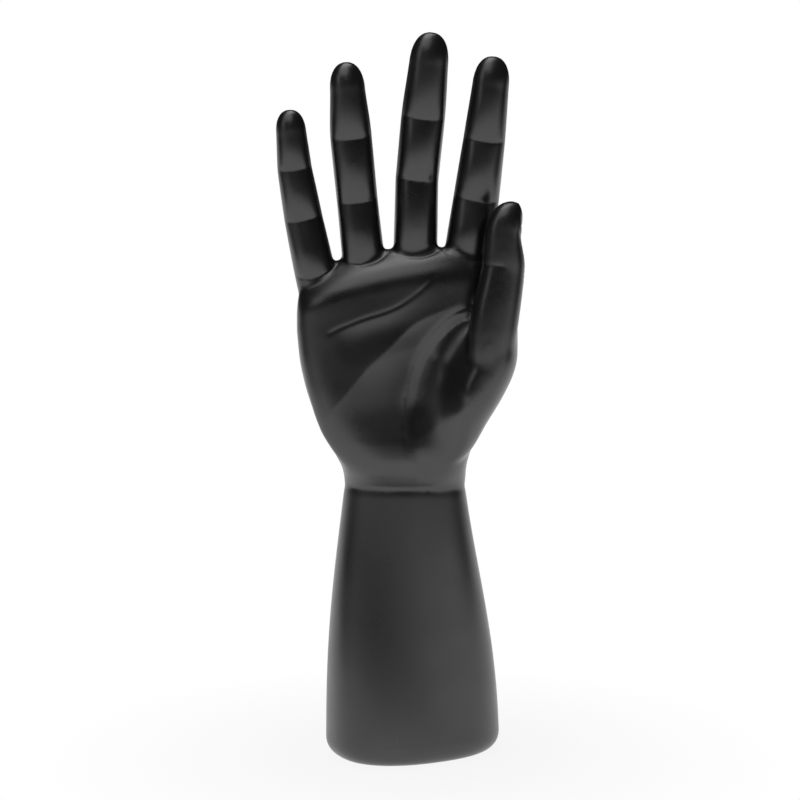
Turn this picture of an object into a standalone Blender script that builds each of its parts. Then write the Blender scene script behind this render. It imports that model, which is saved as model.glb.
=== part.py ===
"""Display hand of black plastic: a right hand, palm to the front, standing on its own forearm.

The hollow hand is two moulded half shells that meet on a parting sheet running through the sides of the
forearm, the palm and the four fingers. A press-in plug closes the underside and carries a ballast slug.

Frame: origin at the middle of the underside, +Z up along the forearm, -Y towards the palm side,
+X towards the thumb side. Lengths are metres, written as millimetres times MM.
"""

import math
from dataclasses import dataclass

import bmesh
import bpy
from mathutils import Matrix, Vector

MM = 0.001

# Wall and fits
WALL = 2.2 * MM
FIT_GAP = 0.3 * MM

# Forearm
FOREARM_HEIGHT = 114.0 * MM
BASE_HALF_WIDTH = 37.6 * MM
BASE_HALF_DEPTH = 28.5 * MM
BASE_ROUNDING = 8.0 * MM
BASE_TWIST = math.radians(26.0)
WRIST_LEFT = -28.6 * MM
WRIST_RIGHT = 21.6 * MM
WRIST_FRONT = 16.6 * MM
WRIST_BACK = 17.6 * MM

# Palm
PALM_LENGTH = 99.0 * MM
PALM_TOP = 25.0 * MM
PALM_TOP_EDGE = 3.0 * MM
PALM_TOP_BEND = 8.0 * MM
PALM_TOP_FRONT = (0.14, 0.35)
PALM_TOP_SIDE = (0.0, 0.1)
PALM_TOP_BACK = (0.06, 0.2)
WEB_ARCH = 10.0 * MM
WEB_CREST_X = 5.0 * MM

# Resolution of the lofted skins
COLUMN_POINTS = 48
FINGER_POINTS = 16
THENAR_POINTS = 20
CAVITY_COLUMN_POINTS = 24
CAVITY_FINGER_POINTS = 8
RING_STEP = 5.0 * MM
CAVITY_STEP = 10.0 * MM
POST_POINTS = 16

# Posts that join the half shells, as X and height on the parting sheet
POST_RADIUS = 4.5 * MM
PIN_RADIUS = 2.4 * MM
PIN_LENGTH = 7.0 * MM
POST_PLACES = ((0.0, 52.0 * MM), (-3.5 * MM, 106.0 * MM), (-28.0 * MM, 164.0 * MM), (14.0 * MM, 186.0 * MM))

# Underside plug and ballast
UNDERSIDE_MARGIN = 4.0 * MM
PLUG_FLANGE = 2.5 * MM
PLUG_FLANGE_THICK = 1.2 * MM
PLUG_WALL = 1.6 * MM
PLUG_HEIGHT = 14.0 * MM
PLUG_BEAD = 0.8 * MM
BALLAST_HEIGHT = 26.0 * MM
BALLAST_CHAMFER = 1.5 * MM
OVAL_POINTS = 40
SHARP_ANGLE = math.radians(35.0)

BLACK_PLASTIC = ("black_plastic", (0.012, 0.012, 0.013), 0.36, 0.0)
PLUG_PLASTIC = ("plug_plastic", (0.016, 0.016, 0.017), 0.55, 0.0)
BALLAST_IRON = ("ballast_iron", (0.09, 0.085, 0.08), 0.7, 0.9)


@dataclass(frozen=True)
class Slice:
    """One level of a column: share of its height, left and right edges, front and back depths."""

    share: float
    left: float
    right: float
    front: float
    back: float


@dataclass(frozen=True)
class Digit:
    """A finger or the thumb: a chain of phalanges from its root crease to its tip.

    lengths, leans and flexes run from the root to the tip. Lean is to the thumb side and flex is towards
    the palm side, both from vertical. widths are half sizes at the root, at each joint and at the pad,
    fronts and backs are the depths to the pad side and the nail side at the same places.
    """

    name: str
    root: tuple
    lengths: tuple
    leans: tuple
    flexes: tuple
    widths: tuple
    fronts: tuple
    backs: tuple
    pad_swell: float
    tip_length: float
    stub: float
    knuckle: float
    turn: float = 0.0


# The palm column from the wrist crease to the web between the fingers
PALM_SLICES = (
    Slice(0.00, WRIST_LEFT, WRIST_RIGHT, WRIST_FRONT, WRIST_BACK),
    Slice(0.05, -28.9 * MM, 21.9 * MM, 19.0 * MM, 17.9 * MM),
    Slice(0.10, -29.6 * MM, 22.1 * MM, 21.3 * MM, 17.8 * MM),
    Slice(0.16, -31.6 * MM, 23.0 * MM, 22.9 * MM, 17.5 * MM),
    Slice(0.23, -34.4 * MM, 24.7 * MM, 23.6 * MM, 17.1 * MM),
    Slice(0.31, -37.6 * MM, 27.1 * MM, 23.2 * MM, 16.4 * MM),
    Slice(0.45, -41.6 * MM, 30.0 * MM, 21.7 * MM, 15.2 * MM),
    Slice(0.62, -45.0 * MM, 32.8 * MM, 19.8 * MM, 13.8 * MM),
    Slice(0.80, -47.1 * MM, 34.1 * MM, 17.9 * MM, 12.5 * MM),
    Slice(1.00, -48.2 * MM, 34.2 * MM, 15.8 * MM, 11.6 * MM),
)

# The ball of the thumb, a mound on the palm: its right edge and its back depth by share of its height
THENAR_BASE = 4.0 * MM
THENAR_LENGTH = 74.0 * MM
THENAR_MIDDLE = -12.0 * MM
THENAR_EDGE_ROUNDING = 12.0 * MM
THENAR_SIDE = (
    (0.00, 12.0 * MM, 9.0 * MM),
    (0.16, 23.8 * MM, 10.0 * MM),
    (0.31, 30.2 * MM, 9.0 * MM),
    (0.47, 37.2 * MM, 6.0 * MM),
    (0.60, 41.4 * MM, 1.0 * MM),
    (0.68, 42.6 * MM, -3.0 * MM),
    (0.80, 42.6 * MM, -7.0 * MM),
    (0.91, 42.0 * MM, -9.0 * MM),
    (1.00, 40.0 * MM, -10.0 * MM),
)
STRIP_WIDTH = 4.0 * MM
STRIP_RISE = 1.2 * MM
STRIP_SUNK = 0.6 * MM
CREST_START = 8.0 * MM
CREST_WIDTH = 24.0 * MM
CREST_FRONT = 28.5 * MM
CREST_LEAN = 0.08
CREST_CURVE = 1.6
HEEL_HEIGHT = 17.0 * MM
HEEL_SLOPE = 0.42
THENAR_TAPER = 4.0 * MM
THENAR_TAPER_START = 0.6

WEB_HEIGHT = FOREARM_HEIGHT + PALM_LENGTH

LITTLE = Digit(
    name="little",
    root=(-40.3 * MM, 0.0, WEB_HEIGHT - 13.0 * MM),
    lengths=(24.0 * MM, 21.0 * MM, 25.0 * MM),
    leans=(-12.0, -10.0, -5.0),
    flexes=(-1.5, 1.5, 3.0),
    widths=(8.5 * MM, 8.0 * MM, 7.2 * MM, 6.3 * MM),
    fronts=(6.8 * MM, 6.6 * MM, 6.2 * MM, 4.9 * MM),
    backs=(7.8 * MM, 7.2 * MM, 6.0 * MM, 4.2 * MM),
    pad_swell=1.3 * MM,
    tip_length=10.0 * MM,
    stub=38.0 * MM,
    knuckle=9.6 * MM,
)
RING = Digit(
    name="ring",
    root=(-20.4 * MM, 0.0, WEB_HEIGHT - 7.5 * MM),
    lengths=(25.5 * MM, 26.0 * MM, 31.6 * MM),
    leans=(-6.0, -5.6, -4.0),
    flexes=(0.0, 2.5, 3.0),
    widths=(8.8 * MM, 8.5 * MM, 8.6 * MM, 7.3 * MM),
    fronts=(7.6 * MM, 7.6 * MM, 7.2 * MM, 5.6 * MM),
    backs=(8.8 * MM, 8.2 * MM, 6.8 * MM, 4.8 * MM),
    pad_swell=1.6 * MM,
    tip_length=12.0 * MM,
    stub=42.0 * MM,
    knuckle=11.2 * MM,
)
MIDDLE = Digit(
    name="middle",
    root=(0.8 * MM, 0.0, WEB_HEIGHT - 4.5 * MM),
    lengths=(31.5 * MM, 25.0 * MM, 35.6 * MM),
    leans=(1.2, 5.6, 5.9),
    flexes=(0.0, 2.5, 3.0),
    widths=(9.1 * MM, 8.9 * MM, 9.05 * MM, 8.1 * MM),
    fronts=(7.9 * MM, 7.9 * MM, 7.5 * MM, 5.8 * MM),
    backs=(9.2 * MM, 8.5 * MM, 7.0 * MM, 5.0 * MM),
    pad_swell=1.7 * MM,
    tip_length=13.5 * MM,
    stub=42.0 * MM,
    knuckle=11.8 * MM,
)
INDEX = Digit(
    name="index",
    root=(22.4 * MM, 0.0, WEB_HEIGHT - 6.0 * MM),
    lengths=(24.8 * MM, 24.5 * MM, 35.0 * MM),
    leans=(8.0, 7.6, 6.4),
    flexes=(-1.0, 2.0, 3.0),
    widths=(10.0 * MM, 9.5 * MM, 8.7 * MM, 7.6 * MM),
    fronts=(7.9 * MM, 7.8 * MM, 7.4 * MM, 5.7 * MM),
    backs=(9.2 * MM, 8.4 * MM, 6.9 * MM, 4.9 * MM),
    pad_swell=1.6 * MM,
    tip_length=12.5 * MM,
    stub=42.0 * MM,
    knuckle=11.4 * MM,
)
FINGERS = (LITTLE, RING, MIDDLE, INDEX)

# The thumb stands in front of the index finger with its nail to the thumb side
THUMB = Digit(
    name="thumb",
    root=(31.6 * MM, -20.5 * MM, FOREARM_HEIGHT + 60.0 * MM),
    lengths=(30.0 * MM, 28.0 * MM),
    leans=(8.7, 10.6),
    flexes=(-3.0, -3.0),
    widths=(8.2 * MM, 7.4 * MM, 6.4 * MM),
    fronts=(9.8 * MM, 8.8 * MM, 9.4 * MM),
    backs=(9.6 * MM, 9.2 * MM, 4.3 * MM),
    pad_swell=1.1 * MM,
    tip_length=13.0 * MM,
    stub=14.0 * MM,
    knuckle=8.0 * MM,
    turn=math.radians(80.0),
)

COLUMN_SQUARENESS = 2.3
THENAR_SQUARENESS = 2.6
DIGIT_SQUARENESS = 2.2
PAD_SKEW = 0.8
TIP_ROUNDNESS = 2.3

# Lines of the palm, as X and height above the wrist crease in millimetres
HEART_LINE = ((9.2, 88.2), (5.5, 83.3), (-2.6, 76.8), (-10.4, 72.7), (-20.8, 69.3), (-32.0, 64.5))
HEAD_LINE = (
    (23.1, 76.4), (11.7, 74.2), (1.9, 68.7), (-9.6, 59.5), (-17.8, 52.4), (-25.5, 39.0), (-29.5, 20.0),
)
LIFE_LINE = (
    (24.4, 74.3), (17.0, 72.0), (10.9, 67.5), (4.7, 60.5), (0.2, 52.0), (-2.6, 41.3), (-3.9, 30.2),
    (-3.0, 19.9), (-1.0, 12.5),
)
THENAR_EDGE = ((41.2, 52.7), (23.9, 38.6), (9.0, 31.0), (0.9, 27.3))
HEART_RISE = 0.4 * MM
HEART_WALL = 4.5 * MM
HEART_FADE = 9.0 * MM
HEAD_RISE = 1.9 * MM
HEAD_WALL = 7.0 * MM
HEAD_FADE = 22.0 * MM


def spline(points):
    """A smooth curve without overshoot through (place, value) pairs, as a function of place."""
    places = [place for place, _ in points]
    values = [value for _, value in points]
    slopes = [
        (values[i + 1] - values[i]) / (places[i + 1] - places[i]) for i in range(len(points) - 1)
    ]
    tangents = [slopes[0]]
    for before, after in zip(slopes, slopes[1:]):
        same_way = before * after > 0
        tangents.append(2 * before * after / (before + after) if same_way else 0.0)
    tangents.append(slopes[-1])

    def at(place):
        i = 0
        while i < len(slopes) - 1 and place > places[i + 1]:
            i += 1
        width = places[i + 1] - places[i]
        u = min(max((place - places[i]) / width, 0.0), 1.0)
        start = values[i] * (1 + 2 * u) * (1 - u) ** 2 + tangents[i] * width * u * (1 - u) ** 2
        end = values[i + 1] * u**2 * (3 - 2 * u) - tangents[i + 1] * width * u**2 * (1 - u)
        return start + end

    return at


def smooth_step(u):
    """Rises from 0 to 1 as u goes from 0 to 1."""
    u = min(max(u, 0.0), 1.0)
    return u * u * (3 - 2 * u)


def spaced(low, high, step):
    """Evenly spaced values from low to high, about a step apart."""
    count = max(1, round((high - low) / step))
    return [low + (high - low) * i / count for i in range(count + 1)]


def section(centre, side, front, half_widths, half_depths, squareness, count):
    """Points round a rounded section, whose left, right, front and back sizes may all differ."""
    left, right = half_widths
    ahead, behind = half_depths
    points = []
    for i in range(count):
        angle = 2 * math.pi * i / count
        across = math.copysign(abs(math.cos(angle)) ** (2 / squareness), math.cos(angle))
        along = math.copysign(abs(math.sin(angle)) ** (2 / squareness), math.sin(angle))
        width = right if across > 0 else left
        depth = ahead if along > 0 else behind
        points.append(centre + side * (across * width) + front * (along * depth))
    return points


def loft(name, rings):
    """A closed skin through the rings, capped at both ends."""
    bm = bmesh.new()
    loops = [[bm.verts.new(point) for point in ring] for ring in rings]
    for low, high in zip(loops, loops[1:]):
        for i in range(len(low)):
            j = (i + 1) % len(low)
            bm.faces.new((low[i], low[j], high[j], high[i]))
    bm.faces.new(loops[0][::-1])
    bm.faces.new(loops[-1])
    bmesh.ops.recalc_face_normals(bm, faces=bm.faces)
    mesh = bpy.data.meshes.new(name)
    bm.to_mesh(mesh)
    bm.free()
    return bpy.data.objects.new(name, mesh)


def line_distance(x, height, line):
    """Distance from a palm point to a palm line, above 0 on its left side as the line runs."""
    best = None
    for (ax, az), (bx, bz) in zip(line, line[1:]):
        ax, az, bx, bz = ax * MM, az * MM, bx * MM, bz * MM
        run = (bx - ax, bz - az)
        length = math.hypot(*run)
        along = ((x - ax) * run[0] + (height - az) * run[1]) / length**2
        along = min(max(along, 0.0), 1.0)
        gap = math.hypot(x - ax - along * run[0], height - az - along * run[1])
        cross = run[0] * (height - az) - run[1] * (x - ax)
        if best is None or gap < abs(best):
            best = math.copysign(gap, cross)
    return best


def wall_rise(distance, rise, wall, fade):
    """The rise beyond a palm line: steepest at the line, level after the wall, and sinking back over fade."""
    climb = 1 - (1 - min(max(distance / wall, 0.0), 1.0)) ** 2
    return rise * climb * (1 - smooth_step((distance - wall) / fade))


def palm_relief(x, height):
    """How far the palm's front stands out below the heart line and below the head line."""
    heart = line_distance(x, height, HEART_LINE)
    head = line_distance(x, height, HEAD_LINE)
    fade_out = smooth_step((height - HEEL_HEIGHT) / (2 * HEEL_HEIGHT))
    low = wall_rise(head, HEAD_RISE, HEAD_WALL, HEAD_FADE) * fade_out
    return low + wall_rise(heart, HEART_RISE, HEART_WALL, HEART_FADE)


PALM_LEFT = spline([(level.share, level.left) for level in PALM_SLICES])
PALM_RIGHT = spline([(level.share, level.right) for level in PALM_SLICES])
PALM_FRONT = spline([(level.share, level.front) for level in PALM_SLICES])
PALM_BACK = spline([(level.share, level.back) for level in PALM_SLICES])


def palm_front(x, height):
    """How far the plain palm stands out to the front at a point."""
    share = min(max(height / (PALM_LENGTH - PALM_TOP), 0.0), 1.0)
    left, right = PALM_LEFT(share), PALM_RIGHT(share)
    front, back = PALM_FRONT(share), PALM_BACK(share)
    across = min(abs(2 * x - left - right) / (right - left), 1.0)
    curve = (1 - across**COLUMN_SQUARENESS) ** (1 / COLUMN_SQUARENESS)
    return (front - back) / 2 + (front + back) / 2 * curve


def life_x(height):
    """The life line's X at a height above the wrist crease."""
    points = [(z * MM, x * MM) for x, z in LIFE_LINE[::-1]]
    return spline([(0.0, points[0][1])] + points + [(2 * points[-1][0], 2 * points[-1][1])])(height)


def thenar_front(x, height):
    """How far the ball of the thumb stands out: the strip by the life line, the crest and the heel below."""
    inside = max(line_distance(x, height, LIFE_LINE), 0.0)
    below = max(line_distance(x, height, THENAR_EDGE), 0.0)
    line_x = min(x, life_x(height))
    foot = palm_front(line_x, height)
    crown = palm_front(line_x, max(height, HEEL_HEIGHT))
    depth = foot + (crown - foot) * smooth_step(inside / (3 * STRIP_WIDTH))
    depth += (STRIP_RISE + STRIP_SUNK) * min(inside / STRIP_WIDTH, 1.0) - STRIP_SUNK
    share = min(max((inside - CREST_START) / CREST_WIDTH, 0.0), 1.0)
    root_height = THUMB.root[2] - FOREARM_HEIGHT
    crest = CREST_FRONT + CREST_LEAN * (root_height - max(height, root_height - 2 * CREST_START))
    depth += (crest - depth) * (1 - (1 - share) ** CREST_CURVE)
    return depth - HEEL_SLOPE * smooth_step(inside / (3.5 * STRIP_WIDTH)) * below


def thenar_rings(inset, count, step):
    """Rings of the ball of the thumb, with its front drawn from the life line to its rounded right edge."""
    right = spline([(share, edge) for share, edge, _ in THENAR_SIDE])
    back = spline([(share, behind) for share, _, behind in THENAR_SIDE])
    rings = []
    for height in spaced(inset, THENAR_LENGTH - inset, step):
        share = height / THENAR_LENGTH
        palm_height = THENAR_BASE + height
        taper = THENAR_TAPER * smooth_step((share - THENAR_TAPER_START) / (1 - THENAR_TAPER_START))
        low = min(life_x(palm_height) + taper, right(share) - 2 * THENAR_BASE) + inset
        high = right(share) - inset
        ring = []
        for i in range(count):
            across = (1 - math.cos(math.pi * i / (count - 1))) / 2
            x = low + (high - low) * across
            depth = max(thenar_front(x, palm_height) - taper - inset + THENAR_MIDDLE, WALL / 2)
            edge = min(max(1 - (high - x) / THENAR_EDGE_ROUNDING, 0.0), 1.0)
            depth *= (1 - edge**THENAR_SQUARENESS) ** (1 / THENAR_SQUARENESS)
            ring.append(Vector((x, THENAR_MIDDLE - depth, FOREARM_HEIGHT + palm_height)))
        for i in range(1, count // 2):
            across = math.cos(math.pi * 2 * i / count)
            depth = max(back(share) - inset - THENAR_MIDDLE, WALL / 2) * math.sqrt(1 - across**2)
            x = (low + high) / 2 + (high - low) / 2 * across
            ring.append(Vector((x, THENAR_MIDDLE + depth, FOREARM_HEIGHT + palm_height)))
        rings.append(ring)
    return rings


def palm_rings(inset, count, step):
    """Rings of the palm from the wrist crease up, drawn in by inset, with its relief on the outer skin."""
    length = PALM_LENGTH - PALM_TOP
    rings = []
    for height in spaced(inset, length - inset, step):
        share = height / length
        half = (PALM_RIGHT(share) - PALM_LEFT(share)) / 2
        middle = (PALM_BACK(share) - PALM_FRONT(share)) / 2
        depth = (PALM_BACK(share) + PALM_FRONT(share)) / 2
        ring = section(
            Vector(((PALM_RIGHT(share) + PALM_LEFT(share)) / 2, middle, FOREARM_HEIGHT + height)),
            Vector((1, 0, 0)),
            Vector((0, -1, 0)),
            (half - inset,) * 2,
            (depth - inset,) * 2,
            COLUMN_SQUARENESS,
            count,
        )
        if not inset:
            for point in ring:
                facing = smooth_step((middle - point.y) / depth)
                point.y -= facing * palm_relief(point.x, height)
        rings.append(ring)
    return rings


def forearm_rings(inset, count, step):
    """Rings from the rounded underside up to the wrist crease, turning from the base's twist to none."""
    wrist_half = (WRIST_RIGHT - WRIST_LEFT) / 2
    wrist_middle = (WRIST_RIGHT + WRIST_LEFT) / 2
    wrist_depth = (WRIST_FRONT + WRIST_BACK) / 2
    width = spline([(0.0, BASE_HALF_WIDTH), (0.2, BASE_HALF_WIDTH - 0.8 * MM), (1.0, wrist_half)])
    depth = spline([(0.0, BASE_HALF_DEPTH), (0.2, BASE_HALF_DEPTH - 0.6 * MM), (1.0, wrist_depth)])
    rounding = BASE_ROUNDING - inset
    levels = [(inset + rounding * (1 - math.cos(a)), rounding * (1 - math.sin(a)))
              for a in (0.0, math.radians(30), math.radians(60))]
    levels += [(height, 0.0) for height in spaced(BASE_ROUNDING, FOREARM_HEIGHT, step)[:-1]]
    rings = []
    for height, drawn_in in levels:
        share = height / FOREARM_HEIGHT
        twist = BASE_TWIST * (1 - smooth_step(share))
        side = Vector((math.cos(twist), math.sin(twist), 0.0))
        front = Vector((math.sin(twist), -math.cos(twist), 0.0))
        lean = smooth_step(share)
        centre = Vector((wrist_middle * lean, (WRIST_BACK - WRIST_FRONT) / 2 * lean, height))
        half_width = width(share) - inset - drawn_in
        half_depth = depth(share) - inset - drawn_in
        rings.append(
            section(centre, side, front, (half_width,) * 2, (half_depth,) * 2, COLUMN_SQUARENESS, count)
        )
    return rings


def arch_web(rings, first):
    """Bends the palm's rings so that the web is highest at the middle finger."""
    last = len(rings) - 1
    reach = WEB_CREST_X - PALM_SLICES[-1].left
    for i in range(first, len(rings)):
        share = (i - first) / (last - first)
        for point in rings[i]:
            point.z -= WEB_ARCH * share**2 * ((point.x - WEB_CREST_X) / reach) ** 2


def round_palm_top(rings, inset, step):
    """Adds the palm's top above its last ring: its faces bend back to the fingers and end in a rounded edge."""
    top = rings[-1]
    last = PALM_SLICES[-1]
    centre = sum(top, Vector()) / len(top)
    straight = PALM_TOP - PALM_TOP_EDGE
    climbs = [(height, 0.0) for height in spaced(0.0, straight, step)[1:]]
    edge = PALM_TOP_EDGE - inset
    for angle in (math.radians(45), math.radians(80)):
        climbs.append((straight + edge * math.sin(angle), edge * (1 - math.cos(angle))))
    added = []
    for climb, edge_in in climbs:
        bend = math.hypot(climb, PALM_TOP_BEND) - PALM_TOP_BEND
        ring = []
        for point in top:
            away = point - centre
            lean, curl = PALM_TOP_FRONT if away.y < 0 else PALM_TOP_BACK
            face = last.front if away.y < 0 else last.back
            back_by = (lean * climb + curl * bend + edge_in) * away.y / face
            lean, curl = PALM_TOP_SIDE
            side_by = (lean * climb + curl * bend + edge_in) * away.x / (last.right - centre.x)
            ring.append(point + Vector((-side_by, -back_by, climb)))
        added.append(ring)
    return rings + added


def trunk(name, inset, count, step):
    """Forearm and palm as one upright skin."""
    rings = forearm_rings(inset, count, step)
    first = len(rings)
    rings += palm_rings(inset, count, step)
    arch_web(rings, first)
    return loft(name, round_palm_top(rings, inset, step))


def chain(digit):
    """The joints of a digit from its root to its tip, and the direction of each phalanx."""
    joints = [Vector(digit.root)]
    directions = []
    for length, lean, flex in zip(digit.lengths, digit.leans, digit.flexes):
        lean, flex = math.radians(lean), math.radians(flex)
        way = Vector((math.sin(lean) * math.cos(flex), -math.sin(flex), math.cos(lean) * math.cos(flex)))
        directions.append(way)
        joints.append(joints[-1] + way * length)
    return joints, directions


def digit_rings(digit, inset, count, step):
    """Rings of a digit from its stub inside the palm, past the creases, to its rounded tip."""
    joints, directions = chain(digit)
    creases = [sum(digit.lengths[:i]) for i in range(len(digit.lengths) + 1)]
    total = creases[-1]
    tip_start = total - digit.tip_length
    places = [-digit.stub] + creases[:-1] + [tip_start]
    width = spline(list(zip(places, (digit.widths[0] * 0.9,) + digit.widths)))
    front = spline(list(zip(places, (digit.fronts[0] * 0.8,) + digit.fronts)))
    knuckle_places = [-digit.stub, -digit.stub * 0.4] + places[1:]
    back = spline(list(zip(knuckle_places, (digit.backs[0] * 0.7, digit.knuckle) + digit.backs)))
    levels = spaced(3 * inset - digit.stub, 0.0, step * 2)[:-1]
    for low, high in zip(creases, creases[1:-1] + [tip_start]):
        levels += spaced(low, high, step)[:-1]
    tip = total - inset
    levels += [tip_start + (tip - tip_start) * math.sin(math.radians(a)) for a in (0, 25, 45, 62, 76, 86)]
    rings = []
    for level in levels:
        i = max(k for k, crease in enumerate(creases[:-1]) if level >= crease or k == 0)
        way = directions[i]
        if 0 < i and level - creases[i] < step:
            way = (directions[i - 1] + directions[i]).normalized()
        centre = joints[i] + directions[i] * (level - creases[i])
        toward = Matrix.Rotation(-digit.turn, 3, "Z") @ Vector((0, -1, 0))
        front_way = (toward - way * toward.dot(way)).normalized()
        side = front_way.cross(way)
        u = (level - creases[i]) / (creases[i + 1] - creases[i])
        swell = digit.pad_swell * math.sin(math.pi * min(max(u, 0.0), 1.0) ** PAD_SKEW)
        close = 1.0
        if level > tip_start:
            close = (1 - ((level - tip_start) / (tip - tip_start)) ** TIP_ROUNDNESS) ** (1 / TIP_ROUNDNESS)
        half_width = (width(level) - inset) * close
        ahead = (front(level) + swell - inset) * close
        behind = (back(level) - inset) * close
        rings.append(
            section(centre, side, front_way, (half_width,) * 2, (ahead, behind), DIGIT_SQUARENESS, count)
        )
    return rings


def evaluated_mesh(obj):
    """The mesh of an object with its modifiers carried out."""
    graph = bpy.context.evaluated_depsgraph_get()
    return bpy.data.meshes.new_from_object(obj.evaluated_get(graph))


def combine(target, others, operation, solver="EXACT"):
    """Carries out one Boolean after another on the target, and drops the other objects."""
    for other in others:
        step = target.modifiers.new(operation.lower(), "BOOLEAN")
        step.operation = operation
        step.solver = solver
        step.object = other
    bpy.context.view_layer.update()
    target.data = evaluated_mesh(target)
    target.modifiers.clear()
    for other in others:
        bpy.data.objects.remove(other)
    return target


def hand_form(name, inset, column_points, finger_points, step):
    """The whole hand as one closed form, drawn in by inset."""
    form = trunk(name, inset, column_points, step)
    WORKSHOP.objects.link(form)
    thenar_points = THENAR_POINTS if not inset else column_points // 2
    thenar = loft(name + "_thenar", thenar_rings(inset, thenar_points, step))
    WORKSHOP.objects.link(thenar)
    combine(form, [thenar], "UNION", solver="MANIFOLD")
    digits = []
    for digit in FINGERS + (THUMB,):
        digits.append(loft(name + "_" + digit.name, digit_rings(digit, inset, finger_points, step)))
        WORKSHOP.objects.link(digits[-1])
    return combine(form, digits, "UNION")


def parting_points():
    """The parting sheet's path from below the underside to above the tips, along the middle finger."""
    joints, directions = chain(MIDDLE)
    below = Vector((0.0, 0.0, -BASE_ROUNDING))
    above = joints[-1] + directions[-1] * 4 * BASE_ROUNDING
    return [below] + joints[:-1] + [above]


def half_space(name, direction):
    """A block that fills one side of the parting sheet, half a seam gap away from it."""
    reach = 4 * BASE_HALF_WIDTH
    shift = Vector((0.0, direction * FIT_GAP / 2, 0.0))
    near = [Vector((0.0, p.y, p.z)) + shift for p in parting_points()]
    far = [Vector((0.0, direction * reach, p.z)) for p in near]
    outline = near + far[::-1]
    ends = [[point + Vector((x, 0.0, 0.0)) for point in outline] for x in (-reach, reach)]
    block = loft(name, ends)
    WORKSHOP.objects.link(block)
    return block


def rods(name, radius, start, end):
    """Round rods along Y at every post, from start to end."""
    made = []
    for x, height in POST_PLACES:
        bm = bmesh.new()
        upright = Matrix.Translation((x, (start + end) / 2, height)) @ Matrix.Rotation(math.pi / 2, 4, "X")
        bmesh.ops.create_cone(
            bm,
            cap_ends=True,
            segments=POST_POINTS,
            radius1=radius,
            radius2=radius,
            depth=end - start,
            matrix=upright,
        )
        mesh = bpy.data.meshes.new(name)
        bm.to_mesh(mesh)
        bm.free()
        rod = bpy.data.objects.new(name, mesh)
        WORKSHOP.objects.link(rod)
        made.append(rod)
    return made


def oval_ring(half_width, half_depth, height):
    """A level oval about the forearm's axis, turned with the base."""
    side = Vector((math.cos(BASE_TWIST), math.sin(BASE_TWIST), 0.0))
    front = Vector((math.sin(BASE_TWIST), -math.cos(BASE_TWIST), 0.0))
    return section(
        Vector((0.0, 0.0, height)), side, front, (half_width,) * 2, (half_depth,) * 2, 2.0, OVAL_POINTS
    )


def oval_loft(name, levels):
    """An oval solid through (inset from the flange edge, height) levels."""
    half_width = BASE_HALF_WIDTH - BASE_ROUNDING - UNDERSIDE_MARGIN
    half_depth = BASE_HALF_DEPTH - BASE_ROUNDING - UNDERSIDE_MARGIN
    return loft(name, [oval_ring(half_width - inset, half_depth - inset, height) for inset, height in levels])


def underside_cutters():
    """The stepped opening in the underside: a shallow recess for the flange and the hole for the plug."""
    recess = oval_loft(
        "flange_recess_cutter",
        [(-FIT_GAP, -BASE_ROUNDING), (-FIT_GAP, PLUG_FLANGE_THICK + FIT_GAP)],
    )
    hole = oval_loft(
        "plug_hole_cutter",
        [(PLUG_FLANGE - FIT_GAP, -BASE_ROUNDING), (PLUG_FLANGE - FIT_GAP, 2 * BASE_ROUNDING)],
    )
    WORKSHOP.objects.link(recess)
    WORKSHOP.objects.link(hole)
    return [recess, hole]


def base_plug():
    """The press-in plug: flange flush with the underside, snap bead above the wall, cup for the ballast."""
    skirt = PLUG_FLANGE
    bead_low = UNDERSIDE_WALL + FIT_GAP
    inner = skirt + PLUG_WALL
    return oval_loft(
        "base_plug",
        [
            (0.0, 0.0),
            (0.0, PLUG_FLANGE_THICK),
            (skirt, PLUG_FLANGE_THICK),
            (skirt, bead_low),
            (skirt - PLUG_BEAD, bead_low + PLUG_BEAD),
            (skirt, bead_low + 2.5 * PLUG_BEAD),
            (skirt, PLUG_HEIGHT),
            (inner, PLUG_HEIGHT),
            (inner, PLUG_FLANGE_THICK + PLUG_WALL),
        ],
    )


def ballast_weight():
    """The oval iron slug that stands in the plug's cup and keeps the hand upright."""
    edge = PLUG_FLANGE + PLUG_WALL + FIT_GAP
    floor = PLUG_FLANGE_THICK + PLUG_WALL + FIT_GAP
    top = floor + BALLAST_HEIGHT
    return oval_loft(
        "ballast_weight",
        [
            (edge + BALLAST_CHAMFER, floor),
            (edge, floor + BALLAST_CHAMFER),
            (edge, top - BALLAST_CHAMFER),
            (edge + BALLAST_CHAMFER, top),
        ],
    )


def finish(obj, values):
    """Gives a piece its own material and places it in the hand's collection."""
    label, colour, roughness, metallic = values
    material = bpy.data.materials.new(obj.name + "_" + label)
    material.use_nodes = True
    shader = material.node_tree.nodes["Principled BSDF"]
    shader.inputs["Base Color"].default_value = (*colour, 1.0)
    shader.inputs["Roughness"].default_value = roughness
    shader.inputs["Metallic"].default_value = metallic
    obj.data.materials.clear()
    obj.data.materials.append(material)
    obj.data.shade_smooth()
    obj.data.set_sharp_from_angle(angle=SHARP_ANGLE)
    for collection in list(obj.users_collection):
        collection.objects.unlink(obj)
    HAND.objects.link(obj)


UNDERSIDE_WALL = PLUG_FLANGE_THICK + WALL

for old in list(bpy.data.objects):
    bpy.data.objects.remove(old)

HAND = bpy.data.collections.new("hand_mannequin")
WORKSHOP = bpy.data.collections.new("cutters")
bpy.context.scene.collection.children.link(HAND)
bpy.context.scene.collection.children.link(WORKSHOP)

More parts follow.
